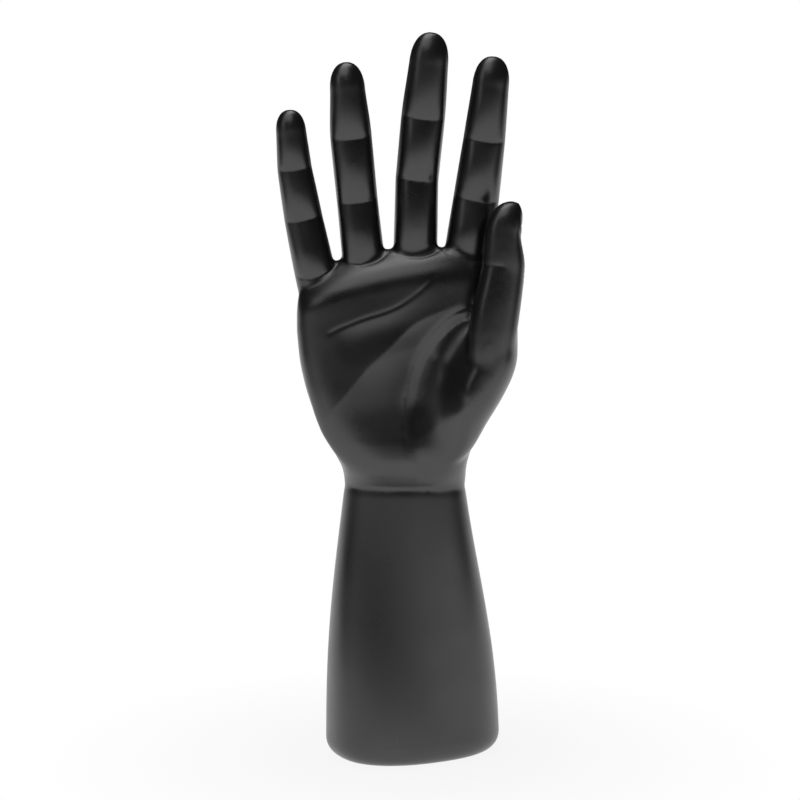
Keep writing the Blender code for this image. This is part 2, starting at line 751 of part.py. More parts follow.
outer = hand_form("outer_form", 0.0, COLUMN_POINTS, FINGER_POINTS, RING_STEP)
cavity = hand_form("cavity", WALL, CAVITY_COLUMN_POINTS, CAVITY_FINGER_POINTS, CAVITY_STEP)
combine(cavity, rods("post", POST_RADIUS, -BASE_HALF_WIDTH, BASE_HALF_WIDTH), "DIFFERENCE")
hollow = combine(outer, [cavity] + underside_cutters(), "DIFFERENCE")

shells = {}
for shell_name, direction in (("palm_shell", -1), ("back_shell", 1)):
    shell = bpy.data.objects.new(shell_name, hollow.data.copy())
    WORKSHOP.objects.link(shell)
    side = half_space(shell_name + "_side", direction)
    shells[shell_name] = combine(shell, [side], "INTERSECT", solver="MANIFOLD")
bpy.data.objects.remove(hollow)
sockets = rods("socket", PIN_RADIUS + FIT_GAP, -PIN_LENGTH - FIT_GAP, FIT_GAP)
combine(shells["palm_shell"], sockets, "DIFFERENCE", solver="MANIFOLD")
pins = rods("pin", PIN_RADIUS, -PIN_LENGTH, PIN_LENGTH)
combine(shells["back_shell"], pins, "UNION", solver="MANIFOLD")
for shell in shells.values():
    finish(shell, BLACK_PLASTIC)

finish(base_plug(), PLUG_PLASTIC)
finish(ballast_weight(), BALLAST_IRON)
bpy.data.collections.remove(WORKSHOP)
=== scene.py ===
"""Looks of a black plastic display hand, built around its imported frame.

The hand is modelled as one skin: a forearm and palm, the ball of the thumb, four fingers and a thumb, each
drawn as a loft, melted together, smoothed and carved with palm lines, finger creases, knuckles and nails.
The skin is hollowed and parted into the palm half and the back half. The plug and the ballast keep their own
solids.

Frame: metres, origin at the middle of the underside, +Z up, -Y out of the palm, +X to the thumb side.
"""

import logging
import math
from dataclasses import dataclass
from enum import Enum
from typing import Callable

import bmesh
import bpy
import numpy as np
from mathutils import Matrix, Vector


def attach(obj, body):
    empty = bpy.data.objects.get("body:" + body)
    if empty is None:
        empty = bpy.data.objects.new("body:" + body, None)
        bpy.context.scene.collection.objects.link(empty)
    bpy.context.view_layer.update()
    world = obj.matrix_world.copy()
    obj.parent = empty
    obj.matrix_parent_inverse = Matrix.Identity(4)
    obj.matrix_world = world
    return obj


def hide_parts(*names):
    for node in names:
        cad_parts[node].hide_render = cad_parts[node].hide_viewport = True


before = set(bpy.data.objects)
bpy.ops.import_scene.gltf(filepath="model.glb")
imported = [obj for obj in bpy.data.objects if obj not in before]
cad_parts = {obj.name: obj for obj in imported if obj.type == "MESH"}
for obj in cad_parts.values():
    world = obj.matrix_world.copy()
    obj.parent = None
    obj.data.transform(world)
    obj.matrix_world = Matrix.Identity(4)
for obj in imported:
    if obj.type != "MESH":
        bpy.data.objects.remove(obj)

LOG = logging.getLogger("display_hand")
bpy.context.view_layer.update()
MM = 0.001
Ring = list[Vector]
Curve = Callable[[float], float]


class Half(Enum):
    """The two moulded halves, with the side of the parting sheet each one fills."""

    PALM = -1
    BACK = 1


def spline(points: list[tuple[float, float]]) -> Curve:
    """Draws a smooth curve without overshoot through points.

    Args:
        points: Pairs of place and value, in order of place.

    Returns:
        A function that gives the value at any place.
    """
    places = [place for place, _ in points]
    values = [value for _, value in points]
    slopes = [(values[i + 1] - values[i]) / (places[i + 1] - places[i]) for i in range(len(points) - 1)]
    tangents = [slopes[0]]
    for before, after in zip(slopes, slopes[1:]):
        tangents.append(2 * before * after / (before + after) if before * after > 0 else 0.0)
    tangents.append(slopes[-1])

    def at(place: float) -> float:
        """Gives the curve's value at a place."""
        i = 0
        while i < len(slopes) - 1 and place > places[i + 1]:
            i += 1
        width = places[i + 1] - places[i]
        u = min(max((place - places[i]) / width, 0.0), 1.0)
        start = values[i] * (1 + 2 * u) * (1 - u) ** 2 + tangents[i] * width * u * (1 - u) ** 2
        end = values[i + 1] * u**2 * (3 - 2 * u) - tangents[i + 1] * width * u**2 * (1 - u)
        return start + end

    return at


def mm(*values: float) -> tuple[float, ...]:
    """Turns millimetres into metres."""
    return tuple(value * MM for value in values)


def smooth_step(u: np.ndarray | float) -> np.ndarray | float:
    """Rises smoothly from 0 to 1 as u goes from 0 to 1."""
    u = np.clip(u, 0.0, 1.0)
    return u * u * (3 - 2 * u)


def spaced(low: float, high: float, step: float) -> list[float]:
    """Gives evenly spaced values from low to high, about a step apart."""
    count = max(1, round((high - low) / step))
    return [low + (high - low) * i / count for i in range(count + 1)]


@dataclass(frozen=True)
class Ramp:
    """A smooth rise from 0 to 1: the place where it begins and how far it takes."""

    start: float
    width: float

    def up(self, place: np.ndarray | float) -> np.ndarray | float:
        """Gives how far the rise has come at a place."""
        return smooth_step((place - self.start) / self.width)

    def down(self, place: np.ndarray | float) -> np.ndarray | float:
        """Gives how much of the rise is still to come at a place."""
        return 1 - self.up(place)


@dataclass(frozen=True)
class Crease:
    """A crease across a digit: its depth, how far it fades, and how far its ends bow towards the tip."""

    depth: float
    reach: float
    bow: float


@dataclass(frozen=True)
class Nail:
    """A nail's form: its shares of the digit's half width, how it sinks in, its crown and its rim of skin."""

    width_share: float = 0.74
    length_share: float = 1.85
    overhang: float = 0.5 * MM
    squareness: float = 2.6
    sunk: float = 0.32 * MM
    sunk_ramp: Ramp = Ramp(*mm(-0.2, 0.7))
    crown: float = 0.38 * MM
    crown_ramp: Ramp = Ramp(*mm(0.0, 3.0))
    rim: float = 0.22 * MM
    rim_gap: float = 0.9 * MM
    rim_width: float = 0.8 * MM
    rim_end: float = 0.2
    rim_fade: float = 3.0 * MM


@dataclass(frozen=True)
class Softening:
    """Where the skin is smoothed: its side, its heights, how often, and how far inside the life line."""

    side: Half
    low: Ramp
    high: Ramp
    iterations: int
    inside: Ramp | None = None


@dataclass(frozen=True)
class Level:
    """One level of a column: share of its height, left and right edges, front and back depths."""

    share: float
    left: float
    right: float
    front: float
    back: float


@dataclass(frozen=True)
class Section:
    """A rounded section: its centre, the ways to its side and front, and its half sizes."""

    centre: Vector
    side: Vector
    front: Vector
    half_width: float
    ahead: float
    behind: float
    squareness: float

    def points(self, count: int) -> Ring:
        """Gives points round the section.

        Args:
            count: How many points.

        Returns:
            The points, from the side through the front.
        """
        ring = []
        for i in range(count):
            angle = 2 * math.pi * i / count
            across = math.copysign(abs(math.cos(angle)) ** (2 / self.squareness), math.cos(angle))
            along = math.copysign(abs(math.sin(angle)) ** (2 / self.squareness), math.sin(angle))
            depth = self.ahead if along > 0 else self.behind
            ring.append(self.centre + self.side * (across * self.half_width) + self.front * (along * depth))
        return ring


def add_loft(bm: bmesh.types.BMesh, rings: list[Ring]) -> None:
    """Adds a closed skin through rings to an empty bmesh, extruding one circle from ring to ring.

    Args:
        bm: The mesh that takes the skin.
        rings: The rings from end to end, all with the same number of points.
    """
    row = bmesh.ops.create_circle(bm, cap_ends=True, segments=len(rings[0]), radius=1.0)["verts"]
    edges = list(bm.edges)
    for vert, point in zip(row, rings[0]):
        vert.co = point
    for ring in rings[1:]:
        grown = bmesh.ops.extrude_edge_only(bm, edges=edges)["geom"]
        fresh = {item for item in grown if isinstance(item, bmesh.types.BMVert)}
        edges = [e for e in grown if isinstance(e, bmesh.types.BMEdge) and all(v in fresh for v in e.verts)]
        row = [next(e.other_vert(v) for e in v.link_edges if e.other_vert(v) in fresh) for v in row]
        for vert, point in zip(row, ring):
            vert.co = point
    bmesh.ops.contextual_create(bm, geom=edges)
    bmesh.ops.recalc_face_normals(bm, faces=bm.faces)


@dataclass(frozen=True)
class Digit:
    """A finger or the thumb: a chain of phalanges from its root crease to its tip.

    Lean is to the thumb side and flex towards the palm side, both in degrees from vertical. Half widths,
    fronts and backs are given at the root, at each joint and at the pad.
    """

    name: str
    root: tuple[float, float, float]
    lengths: tuple[float, ...]
    leans: tuple[float, ...]
    flexes: tuple[float, ...]
    widths: tuple[float, ...]
    fronts: tuple[float, ...]
    backs: tuple[float, ...]
    pad_swell: float
    tip_length: float
    stub: float
    knuckle: float
    turn: float = 0.0
    side_swell: float = 0.0
    squareness: float = 2.2
    pad_skew: float = 0.8
    tip_roundness: float = 2.3
    stub_width: float = 0.9
    stub_front: float = 0.8
    stub_back: float = 0.7
    knuckle_place: float = 0.4

    def directions(self) -> list[Vector]:
        """Gives the way each phalanx points, from the root to the tip."""
        ways = []
        for lean, flex in zip(self.leans, self.flexes):
            lean, flex = math.radians(lean), math.radians(flex)
            ways.append(
                Vector((math.sin(lean) * math.cos(flex), -math.sin(flex), math.cos(lean) * math.cos(flex)))
            )
        return ways

    def joints(self) -> list[Vector]:
        """Gives the places of the root, the joints and the tip."""
        places = [Vector(self.root)]
        for way, length in zip(self.directions(), self.lengths):
            places.append(places[-1] + way * length)
        return places

    def creases(self) -> list[float]:
        """Gives the distance along the digit of the root, of each joint and of the tip."""
        return [sum(self.lengths[:i]) for i in range(len(self.lengths) + 1)]

    def pad_way(self, way: Vector) -> Vector:
        """Gives the way the pad faces on a phalanx that points the given way."""
        toward = Matrix.Rotation(-self.turn, 3, "Z") @ Vector((0, -1, 0))
        return (toward - way * toward.dot(way)).normalized()

    def rings(self, inset: float, count: int, step: float) -> list[Ring]:
        """Gives the digit's rings from its stub inside the palm to its rounded tip.

        Args:
            inset: How far the skin is drawn in.
            count: Points on each ring.
            step: About how far apart the rings are.

        Returns:
            The rings in order.
        """
        creases = self.creases()
        ways, places = self.directions(), self.joints()
        tip_start = creases[-1] - self.tip_length
        marks = [-self.stub] + creases[:-1] + [tip_start]
        width = spline(list(zip(marks, (self.widths[0] * self.stub_width,) + self.widths)))
        front = spline(list(zip(marks, (self.fronts[0] * self.stub_front,) + self.fronts)))
        knuckle_marks = [-self.stub, -self.stub * self.knuckle_place] + marks[1:]
        backs = (self.backs[0] * self.stub_back, self.knuckle) + self.backs
        back = spline(list(zip(knuckle_marks, backs)))
        tip = creases[-1] - inset
        levels = spaced(3 * inset - self.stub, tip_start, step)[:-1]
        levels += [tip_start + (tip - tip_start) * math.sin(math.radians(a)) for a in range(0, 90, 6)]
        rings = []
        for level in levels:
            i = max(k for k, crease in enumerate(creases[:-1]) if level >= crease or k == 0)
            pad_way = self.pad_way(ways[i])
            u = min(max((level - creases[i]) / self.lengths[i], 0.0), 1.0)
            bulge = math.sin(math.pi * u**self.pad_skew)
            close = 1.0
            if level > tip_start:
                share = (level - tip_start) / (tip - tip_start)
                close = (1 - share**self.tip_roundness) ** (1 / self.tip_roundness)
            part = Section(
                centre=places[i] + ways[i] * (level - creases[i]),
                side=pad_way.cross(ways[i]),
                front=pad_way,
                half_width=(width(level) + (self.side_swell * bulge if i else 0.0) - inset) * close,
                ahead=(front(level) + self.pad_swell * bulge - inset) * close,
                behind=(back(level) - inset) * close,
                squareness=self.squareness,
            )
            rings.append(part.points(count))
        return rings


@dataclass(frozen=True)
class PalmLine:
    """A line of the palm: its points as X and height in millimetres, and the shape it gives the skin.

    A crease is cut to crease_depth and fades over crease_reach. The skin beyond the line, on the left as it
    runs, begins to fall at lead from it, falls by drop over wall, steepest first, and comes back over fade.
    The drop grows over the first part of the line's run and dies away over the last part. The wall widens
    with spread towards the end of the run. The crease tapers off at both ends.
    """

    points: tuple[tuple[float, float], ...]
    crease_depth: float = 0.0
    crease_reach: float = 1.0 * MM
    drop: float = 0.0
    lead: float = 0.0
    spread: float = 0.0
    wall: float = 1.0 * MM
    fade: float = 1.0 * MM
    grow: float = 0.15
    die: float = 0.2
    taper: float = 0.08

    def path(self, steps: int = 8) -> np.ndarray:
        """Gives the line as a fine smooth run of points.

        Args:
            steps: Points for each span of the line.

        Returns:
            An array of X and height in metres.
        """
        marks = np.array(self.points) * MM
        padded = np.vstack([2 * marks[0] - marks[1], marks, 2 * marks[-1] - marks[-2]])
        run = []
        for a, b, c, d in zip(padded, padded[1:], padded[2:], padded[3:]):
            square = 2 * a - 5 * b + 4 * c - d
            cube = 3 * b - a - 3 * c + d
            for u in np.linspace(0, 1, steps, endpoint=False):
                run.append(0.5 * (2 * b + (c - a) * u + square * u**2 + cube * u**3))
        run.append(marks[-1])
        return np.array(run)

    def measure(self, x: np.ndarray, z: np.ndarray) -> tuple[np.ndarray, np.ndarray]:
        """Measures points against the line.

        Args:
            x: The points' X.
            z: The points' heights.

        Returns:
            The signed distance, above 0 on the left as the line runs, and the share of the line's run.
        """
        path = self.path()
        best = np.full(len(x), np.inf)
        signed = np.zeros(len(x))
        share = np.zeros(len(x))
        spans = len(path) - 1
        for i in range(spans):
            a, run = path[i], path[i + 1] - path[i]
            u = np.clip(((x - a[0]) * run[0] + (z - a[1]) * run[1]) / (run @ run), 0, 1)
            gap = np.hypot(x - a[0] - u * run[0], z - a[1] - u * run[1])
            cross = run[0] * (z - a[1]) - run[1] * (x - a[0])
            nearer = gap < best
            best = np.where(nearer, gap, best)
            signed = np.where(nearer, np.copysign(gap, cross), signed)
            share = np.where(nearer, (i + u) / spans, share)
        return signed, share

    def relief(self, x: np.ndarray, z: np.ndarray) -> np.ndarray:
        """Gives how far the line lifts the skin, or below 0 how far it cuts into it.

        Args:
            x: The points' X.
            z: The points' heights.

        Returns:
            The lift at each point.
        """
        signed, share = self.measure(x, z)
        ends = smooth_step(share / self.taper) * smooth_step((1 - share) / self.taper)
        crease = self.crease_depth * np.exp(-np.abs(signed) / self.crease_reach) * ends
        beyond = signed - self.lead
        wall = self.wall * (1 + self.spread * (share - 0.4 * (1 - share) + 4 * share**3))
        fall = 1 - (1 - np.clip(beyond / wall, 0, 1)) ** 2
        fall = fall * (1 - smooth_step((beyond - wall) / self.fade))
        strength = smooth_step(share / self.grow) * smooth_step((1 - share) / self.die)
        return -self.drop * fall * strength - crease


class Carver:
    """Moves the points of a finished skin to cut lines and raise forms in it."""

    front_facing = Ramp(0.15, 0.45)

    def __init__(self, mesh: bpy.types.Mesh) -> None:
        """Reads the skin's points and normals.

        Args:
            mesh: The skin to carve.
        """
        self.mesh = mesh
        count = len(mesh.vertices)
        flat = np.empty(count * 3)
        mesh.vertices.foreach_get("co", flat)
        self.points = flat.reshape(count, 3).copy()
        mesh.vertices.foreach_get("normal", flat)
        self.normals = flat.reshape(count, 3).copy()
        self.push = np.zeros(count)
        self.facing_front = self.front_facing.up(-self.normals[:, 1])

    def finish(self) -> None:
        """Writes the moved points back to the skin."""
        moved = self.points + self.normals * self.push[:, None]
        self.mesh.vertices.foreach_set("co", moved.ravel())
        self.mesh.update()

    def on_digit(self, digit: Digit) -> tuple[np.ndarray, np.ndarray, np.ndarray, np.ndarray]:
        """Measures the skin's points in a digit's own frame.

        Args:
            digit: The finger or thumb.

        Returns:
            Distance along the digit, distance to its side, distance to its pad side, and how far from its
            axis.
        """
        creases, ways, places = digit.creases(), digit.directions(), digit.joints()
        along = np.zeros(len(self.points))
        aside = np.zeros(len(self.points))
        ahead = np.zeros(len(self.points))
        best = np.full(len(self.points), np.inf)
        for i, way in enumerate(ways):
            offset = self.points - np.array(places[i])
            run = offset @ np.array(way)
            low = -np.inf if i == 0 else 0.0
            high = np.inf if i == len(ways) - 1 else digit.lengths[i]
            clipped = np.clip(run, low, high)
            gap = np.linalg.norm(offset - np.outer(clipped, np.array(way)), axis=1)
            nearer = gap < best
            pad_way = digit.pad_way(way)
            best = np.where(nearer, gap, best)
            along = np.where(nearer, creases[i] + run, along)
            aside = np.where(nearer, offset @ np.array(pad_way.cross(way)), aside)
            ahead = np.where(nearer, offset @ np.array(pad_way), ahead)
        return along, aside, ahead, best


@dataclass
class HandSkin:
    """The hand's skin: its sizes, its lofts, and the steps that melt, carve, hollow and part it."""

    digits: tuple[Digit, ...]
    thumb: Digit
    palm_levels: tuple[Level, ...]
    thenar_side: tuple[tuple[float, float, float], ...]
    lines: dict[str, PalmLine]
    thenar_edge: PalmLine
    ball_line: PalmLine
    forearm_height: float = 114.0 * MM
    palm_length: float = 99.0 * MM
    base_half_width: float = 37.6 * MM
    base_half_depth: float = 28.5 * MM
    base_rounding: float = 8.0 * MM
    bend_share: float = 0.2
    bend_in_width: float = 0.8 * MM
    bend_in_depth: float = 2.0 * MM
    base_twist: float = math.radians(26.0)
    wrist_rounding: float = 3.5 * MM
    wrist_step: float = 0.8 * MM
    top_rounding: float = 25.0 * MM
    top_edge: float = 3.0 * MM
    top_start: float = 9.0 * MM
    top_bend: float = 11.5 * MM
    top_front: tuple[float, float] = (0.13, 1.0)
    top_side: tuple[float, float] = (0.0, 0.22)
    top_back: tuple[float, float] = (0.06, 0.33)
    top_turn: float = 0.15
    top_slant: float = 0.08
    web_arch: float = 10.0 * MM
    web_crest_x: float = 5.0 * MM
    thenar_base: float = 4.0 * MM
    thenar_length: float = 74.0 * MM
    squareness: float = 2.3
    palm_flatness: float = 0.8
    flat_from: float = 0.22
    thenar_middle: float = -12.0 * MM
    thenar_edge_rounding: float = 12.0 * MM
    thenar_squareness: float = 2.6
    front_ramp: Ramp = Ramp(*mm(4.0, 5.0))
    lines_low: Ramp = Ramp(*mm(118.0, 32.0))
    lines_high: Ramp = Ramp(*mm(210.0, 4.0))
    fold_depth: float = 2.0 * MM
    fold_width: float = 4.5 * MM
    fold_low: Ramp = Ramp(*mm(128.0, 24.0))
    foot_sunk: float = 3.0 * MM
    foot_ramp: Ramp = Ramp(0.0, 9.0 * MM)
    ball_rise: float = 3.6 * MM
    ball_ramp: Ramp = Ramp(0.0, 11.0 * MM)
    crest_front: float = 28.8 * MM
    crest_lean: float = 0.12
    crest_run: float = 28.0 * MM
    crest_slope: float = 0.35
    crest_ramp: Ramp = Ramp(*mm(5.5, 13.5))
    crest_high: Ramp = Ramp(*mm(180.0, 12.0))
    heel_slope: float = 0.12
    heel_ramp: Ramp = Ramp(0.0, 6.0 * MM)
    sunk_under: float = 1.2 * MM
    sunk_inside: Ramp = Ramp(*mm(2.0, 3.0))
    sunk_low: Ramp = Ramp(*mm(116.0, 14.0))
    sunk_high: Ramp = Ramp(*mm(186.0, 6.0))
    step_near: Ramp = Ramp(*mm(-0.3, 0.6))
    step_far: Ramp = Ramp(*mm(5.0, 3.0))
    step_low: Ramp = Ramp(*mm(128.0, 12.0))
    step_high: Ramp = Ramp(*mm(188.0, 5.0))
    bulge_depth: float = 2.2 * MM
    bulge_x: float = -34.0 * MM
    bulge_width: float = 13.0 * MM
    bulge_high: Ramp = Ramp(*mm(136.0, 38.0))
    bulge_low: Ramp = Ramp(*mm(114.0, 20.0))
    soft_side: Ramp = Ramp(*mm(1.0, 6.0))
    knuckle_softening: Softening = Softening(Half.BACK, Ramp(*mm(150.0, 10.0)), Ramp(*mm(214.0, 8.0)), 45)
    root_softening: Softening = Softening(Half.PALM, Ramp(*mm(190.0, 10.0)), Ramp(*mm(212.0, 8.0)), 24)
    ball_softening: Softening = Softening(
        Half.PALM, Ramp(*mm(108.0, 10.0)), Ramp(*mm(172.0, 8.0)), 40, inside=Ramp(*mm(7.0, 4.0))
    )
    wrist_cut: float = 0.18 * MM
    wrist_cut_reach: float = 1.0 * MM
    root_crease: Crease = Crease(*mm(0.4, 0.6, 2.4))
    joint_crease: Crease = Crease(*mm(0.35, 0.6, 0.9))
    thumb_crease: Crease = Crease(*mm(0.25, 0.8, 0.8))
    nail: Nail = Nail()
    nail_side: Ramp = Ramp(*mm(1.0, 3.0))
    fold_cuts: tuple[tuple[float, ...], ...] = (mm(-2.6, 0.22), mm(-0.4, 0.34), mm(1.9, 0.24))
    fold_bow: float = 0.55
    fold_reach: float = 0.5 * MM
    fold_ends: Ramp = Ramp(0.0, 0.8)
    finger_reach: float = 1.25
    finger_fade: float = 2.0 * MM
    pad_ramp: Ramp = Ramp(0.3, 0.4)
    thumb_near: Ramp = Ramp(*mm(12.0, 2.0))
    thumb_pad: Ramp = Ramp(*mm(-1.0, 5.0))
    thumb_root: Ramp = Ramp(*mm(-12.0, 12.0))
    wall: float = 2.2 * MM
    hollow_share: float = 1.8
    seam: float = 0.02 * MM
    plug_clearance: float = 0.3 * MM
    plug_margin: float = 4.0 * MM
    recess_depth: float = 1.5 * MM
    hole_inset: float = 2.2 * MM
    hole_depth: float = 16.0 * MM
    cutter_drop: float = 20.0 * MM
    skin_points: tuple[int, int] = (120, 56)
    hollow_points: tuple[int, int] = (40, 20)
    hollow_step: float = 4.0 * MM
    voxel: float = 0.72 * MM
    ring_step: float = 1.2 * MM

    def forearm_rings(self, inset: float, count: int, step: float) -> list[Ring]:
        """Gives the rings from the rounded underside to the wrist crease.

        Args:
            inset: How far the skin is drawn in.
            count: Points on each ring.
            step: About how far apart the rings are.

        Returns:
            The rings in order.
        """
        wrist = self.palm_levels[0]
        wrist_width = (wrist.right - wrist.left) / 2
        wrist_depth = (wrist.front + wrist.back) / 2
        bend_width = self.base_half_width - self.bend_in_width
        bend_depth = self.base_half_depth - self.bend_in_depth
        width = spline([(0.0, self.base_half_width), (self.bend_share, bend_width), (1.0, wrist_width)])
        depth = spline([(0.0, self.base_half_depth), (self.bend_share, bend_depth), (1.0, wrist_depth)])
        rounding = self.base_rounding - inset
        levels = []
        for degrees in range(0, 90, 9):
            angle = math.radians(degrees)
            levels.append((inset + rounding * (1 - math.cos(angle)), rounding * (1 - math.sin(angle))))
        for height in spaced(self.base_rounding, self.forearm_height, step)[:-1]:
            near_wrist = max(0.0, 1 - (self.forearm_height - height) / self.wrist_rounding)
            levels.append((height, self.wrist_step * (1 - math.sqrt(1 - near_wrist**2))))
        rings = []
        for height, drawn_in in levels:
            share = height / self.forearm_height
            ease = float(smooth_step(share))
            twist = self.base_twist * (1 - ease)
            middle_x = (wrist.right + wrist.left) / 2 * ease
            middle_y = (wrist.back - wrist.front) / 2 * ease
            part = Section(
                centre=Vector((middle_x, middle_y, height)),
                side=Vector((math.cos(twist), math.sin(twist), 0.0)),
                front=Vector((math.sin(twist), -math.cos(twist), 0.0)),
                half_width=width(share) - inset - drawn_in,
                ahead=depth(share) - inset - drawn_in,
                behind=depth(share) - inset - drawn_in,
                squareness=self.squareness,
            )
            rings.append(part.points(count))
        return rings

    def palm_power(self, share: np.ndarray | float) -> np.ndarray | float:
        """Gives how square the palm's section is at a share of its height."""
        return self.squareness + self.palm_flatness * smooth_step(share / self.flat_from)

    def palm_rings(self, inset: float, count: int, step: float) -> list[Ring]:
        """Gives the rings of the palm through its levels, up to where its top rounds off.

        Args:
            inset: How far the skin is drawn in.
            count: Points on each ring.
            step: About how far apart the rings are.

        Returns:
            The rings in order.
        """
        levels = self.palm_levels
        left = spline([(level.share, level.left) for level in levels])
        right = spline([(level.share, level.right) for level in levels])
        front = spline([(level.share, level.front) for level in levels])
        back = spline([(level.share, level.back) for level in levels])
        length = self.palm_length - self.top_rounding
        rings = []
        for height in spaced(inset, length - inset, step):
            share = height / length
            depth = (back(share) + front(share)) / 2 - inset
            middle = (back(share) - front(share)) / 2
            part = Section(
                centre=Vector(((right(share) + left(share)) / 2, middle, self.forearm_height + height)),
                side=Vector((1, 0, 0)),
                front=Vector((0, -1, 0)),
                half_width=(right(share) - left(share)) / 2 - inset,
                ahead=depth,
                behind=depth,
                squareness=float(self.palm_power(share)),
            )
            rings.append(part.points(count))
        return rings

    def trunk_rings(self, inset: float, count: int, step: float) -> list[Ring]:
        """Gives the rings of forearm and palm, with the arched web and its rounded edge.

        Args:
            inset: How far the skin is drawn in.
            count: Points on each ring.
            step: About how far apart the rings are.

        Returns:
            The rings in order.
        """
        forearm = self.forearm_rings(inset, count, step)
        inset *= self.hollow_share
        palm = self.palm_rings(inset, count, step)
        if not inset:
            self.sink_palm([point for ring in palm for point in ring if point.y < 0])
        reach = self.web_crest_x - self.palm_levels[-1].left
        for i, ring in enumerate(palm):
            for point in ring:
                arch = self.web_arch * (i / (len(palm) - 1)) ** 2
                point.z -= arch * ((point.x - self.web_crest_x) / reach) ** 2
        top = palm[-1]
        centre = sum(top, Vector()) / len(top)
        last = self.palm_levels[-1]
        half_width = last.right - centre.x
        straight = self.top_rounding - self.top_edge
        climbs = [(height, 0.0) for height in spaced(0.0, straight, step)[1:]]
        edge = max(self.top_edge - inset, 0.1 * self.top_edge)
        for degrees in (30, 60, 85):
            angle = math.radians(degrees)
            climbs.append((straight + edge * math.sin(angle), edge * (1 - math.cos(angle))))
        for climb, edge_in in climbs:
            ring = []
            for point in top:
                away = Vector((point.x - centre.x, point.y - centre.y, 0.0))
                past = max(climb - self.top_start - self.top_slant * away.x, 0.0)
                bend = past**2 / (2 * self.top_bend)
                lean, curl = self.top_front if away.y < 0 else self.top_back
                face_depth = last.front if away.y < 0 else last.back
                curl *= 1 - self.top_turn * away.x / half_width
                back_by = (lean * climb + curl * bend + edge_in) * away.y / face_depth
                lean, curl = self.top_side
                side_by = (lean * climb + curl * bend + edge_in) * away.x / half_width
                ring.append(point + Vector((-side_by, -back_by, climb)))
            palm.append(ring)
        return forearm + palm

    def sink_palm(self, points: Ring) -> None:
        """Lowers the plain palm under the ball of the thumb.

        Args:
            points: Points of the palm's front, which are moved.
        """
        x, y, z = np.array(points).T
        inside, _ = self.lines["life"].measure(x, z)
        weight = self.sunk_inside.up(inside) * self.sunk_low.up(z) * self.sunk_high.down(z)
        sunk = np.maximum(-y - self.thenar_depth(x, z) + self.sunk_under, 0.0) * weight
        for point, depth in zip(points, sunk):
            point.y += depth

    def thenar_rings(self, count: int, step: float) -> list[Ring]:
        """Gives the rings of the ball of the thumb, from the life line to its rounded right edge.

        Args:
            count: Points on the front of each ring.
            step: About how far apart the rings are.

        Returns:
            The rings in order.
        """
        right = spline([(share, edge) for share, edge, _ in self.thenar_side])
        back = spline([(share, behind) for share, _, behind in self.thenar_side])
        path = self.lines["life"].path()[::-1]
        rings = []
        for height in spaced(0.0, self.thenar_length, step):
            share = height / self.thenar_length
            z = self.forearm_height + self.thenar_base + height
            high = right(share)
            line_x = float(np.interp(z, path[:, 1], path[:, 0]))
            low = min(line_x, high - 2 * self.thenar_base)
            across = (1 - np.cos(np.linspace(0, math.pi, count))) / 2
            x = low + (high - low) * across
            edge = np.clip(1 - (high - x) / self.thenar_edge_rounding, 0, 1)
            sunk = self.foot_sunk * float(self.foot_ramp.down(height))
            depth = self.thenar_depth(x, np.full(count, z)) - sunk
            depth = np.maximum(depth + self.thenar_middle, self.wall / 2)
            depth = depth * (1 - edge**self.thenar_squareness) ** (1 / self.thenar_squareness)
            ring = [Vector((px, self.thenar_middle - d, z)) for px, d in zip(x, depth)]
            behind = max(back(share) - self.thenar_middle, self.wall / 2)
            for i in range(1, count // 2):
                turn = 2 * math.pi * i / count
                px = (low + high) / 2 + (high - low) / 2 * math.cos(turn)
                ring.append(Vector((px, self.thenar_middle + behind * math.sin(turn), z)))
            rings.append(ring)
        return rings

    def lofts(
        self, inset: float, column_points: int, digit_points: int, step: float
    ) -> list[bpy.types.Object]:
        """Builds the hand's lofts as separate closed skins.

        Args:
            inset: How far the skins are drawn in.
            column_points: Points on each ring of the trunk and of the ball of the thumb.
            digit_points: Points on each ring of a digit.
            step: About how far apart the rings are.

        Returns:
            One object for each loft.
        """
        inner = inset * self.hollow_share
        runs = [self.trunk_rings(inset, column_points, step)]
        runs += [digit.rings(inner, digit_points, step) for digit in self.digits + (self.thumb,)]
        if not inset:
            runs.append(self.thenar_rings(column_points // 2, step))
        made = []
        for rings in runs:
            bm = bmesh.new()
            add_loft(bm, rings)
            made.append(object_from(bm, "hand_loft"))
        return made

    def melted(self) -> bpy.types.Object:
        """Builds the smooth outer skin, all lofts melted into one."""
        lofts = self.lofts(0.0, *self.skin_points, self.ring_step)
        bm = bmesh.new()
        for loft in lofts:
            bm.from_mesh(loft.data)
            bpy.data.objects.remove(loft)
        skin = object_from(bm, "hand_skin")
        melt = skin.modifiers.new("melt", "REMESH")
        melt.mode = "VOXEL"
        melt.voxel_size = self.voxel
        ease = skin.modifiers.new("ease", "SMOOTH")
        ease.factor = 0.5
        ease.iterations = 10
        apply_modifiers(skin)
        self.soften(skin, self.knuckle_softening)
        self.soften(skin, self.root_softening)
        return skin

    def soften(self, skin: bpy.types.Object, softening: Softening) -> None:
        """Smooths one side of the skin between two heights, where lofts meet.

        Args:
            skin: The melted skin.
            softening: Where and how often.
        """
        x, y, z = Carver(skin.data).points.T
        weight = self.soft_side.up(softening.side.value * y)
        weight *= softening.low.up(z) * softening.high.down(z)
        if softening.inside:
            weight *= softening.inside.up(self.lines["life"].measure(x, z)[0])
        group = skin.vertex_groups.new(name="soft")
        for i in np.nonzero(weight > 0.02)[0]:
            group.add([int(i)], float(weight[i]), "REPLACE")
        ease = skin.modifiers.new("ease_side", "SMOOTH")
        ease.factor = 0.6
        ease.iterations = softening.iterations
        ease.vertex_group = group.name
        apply_modifiers(skin)
        skin.vertex_groups.clear()

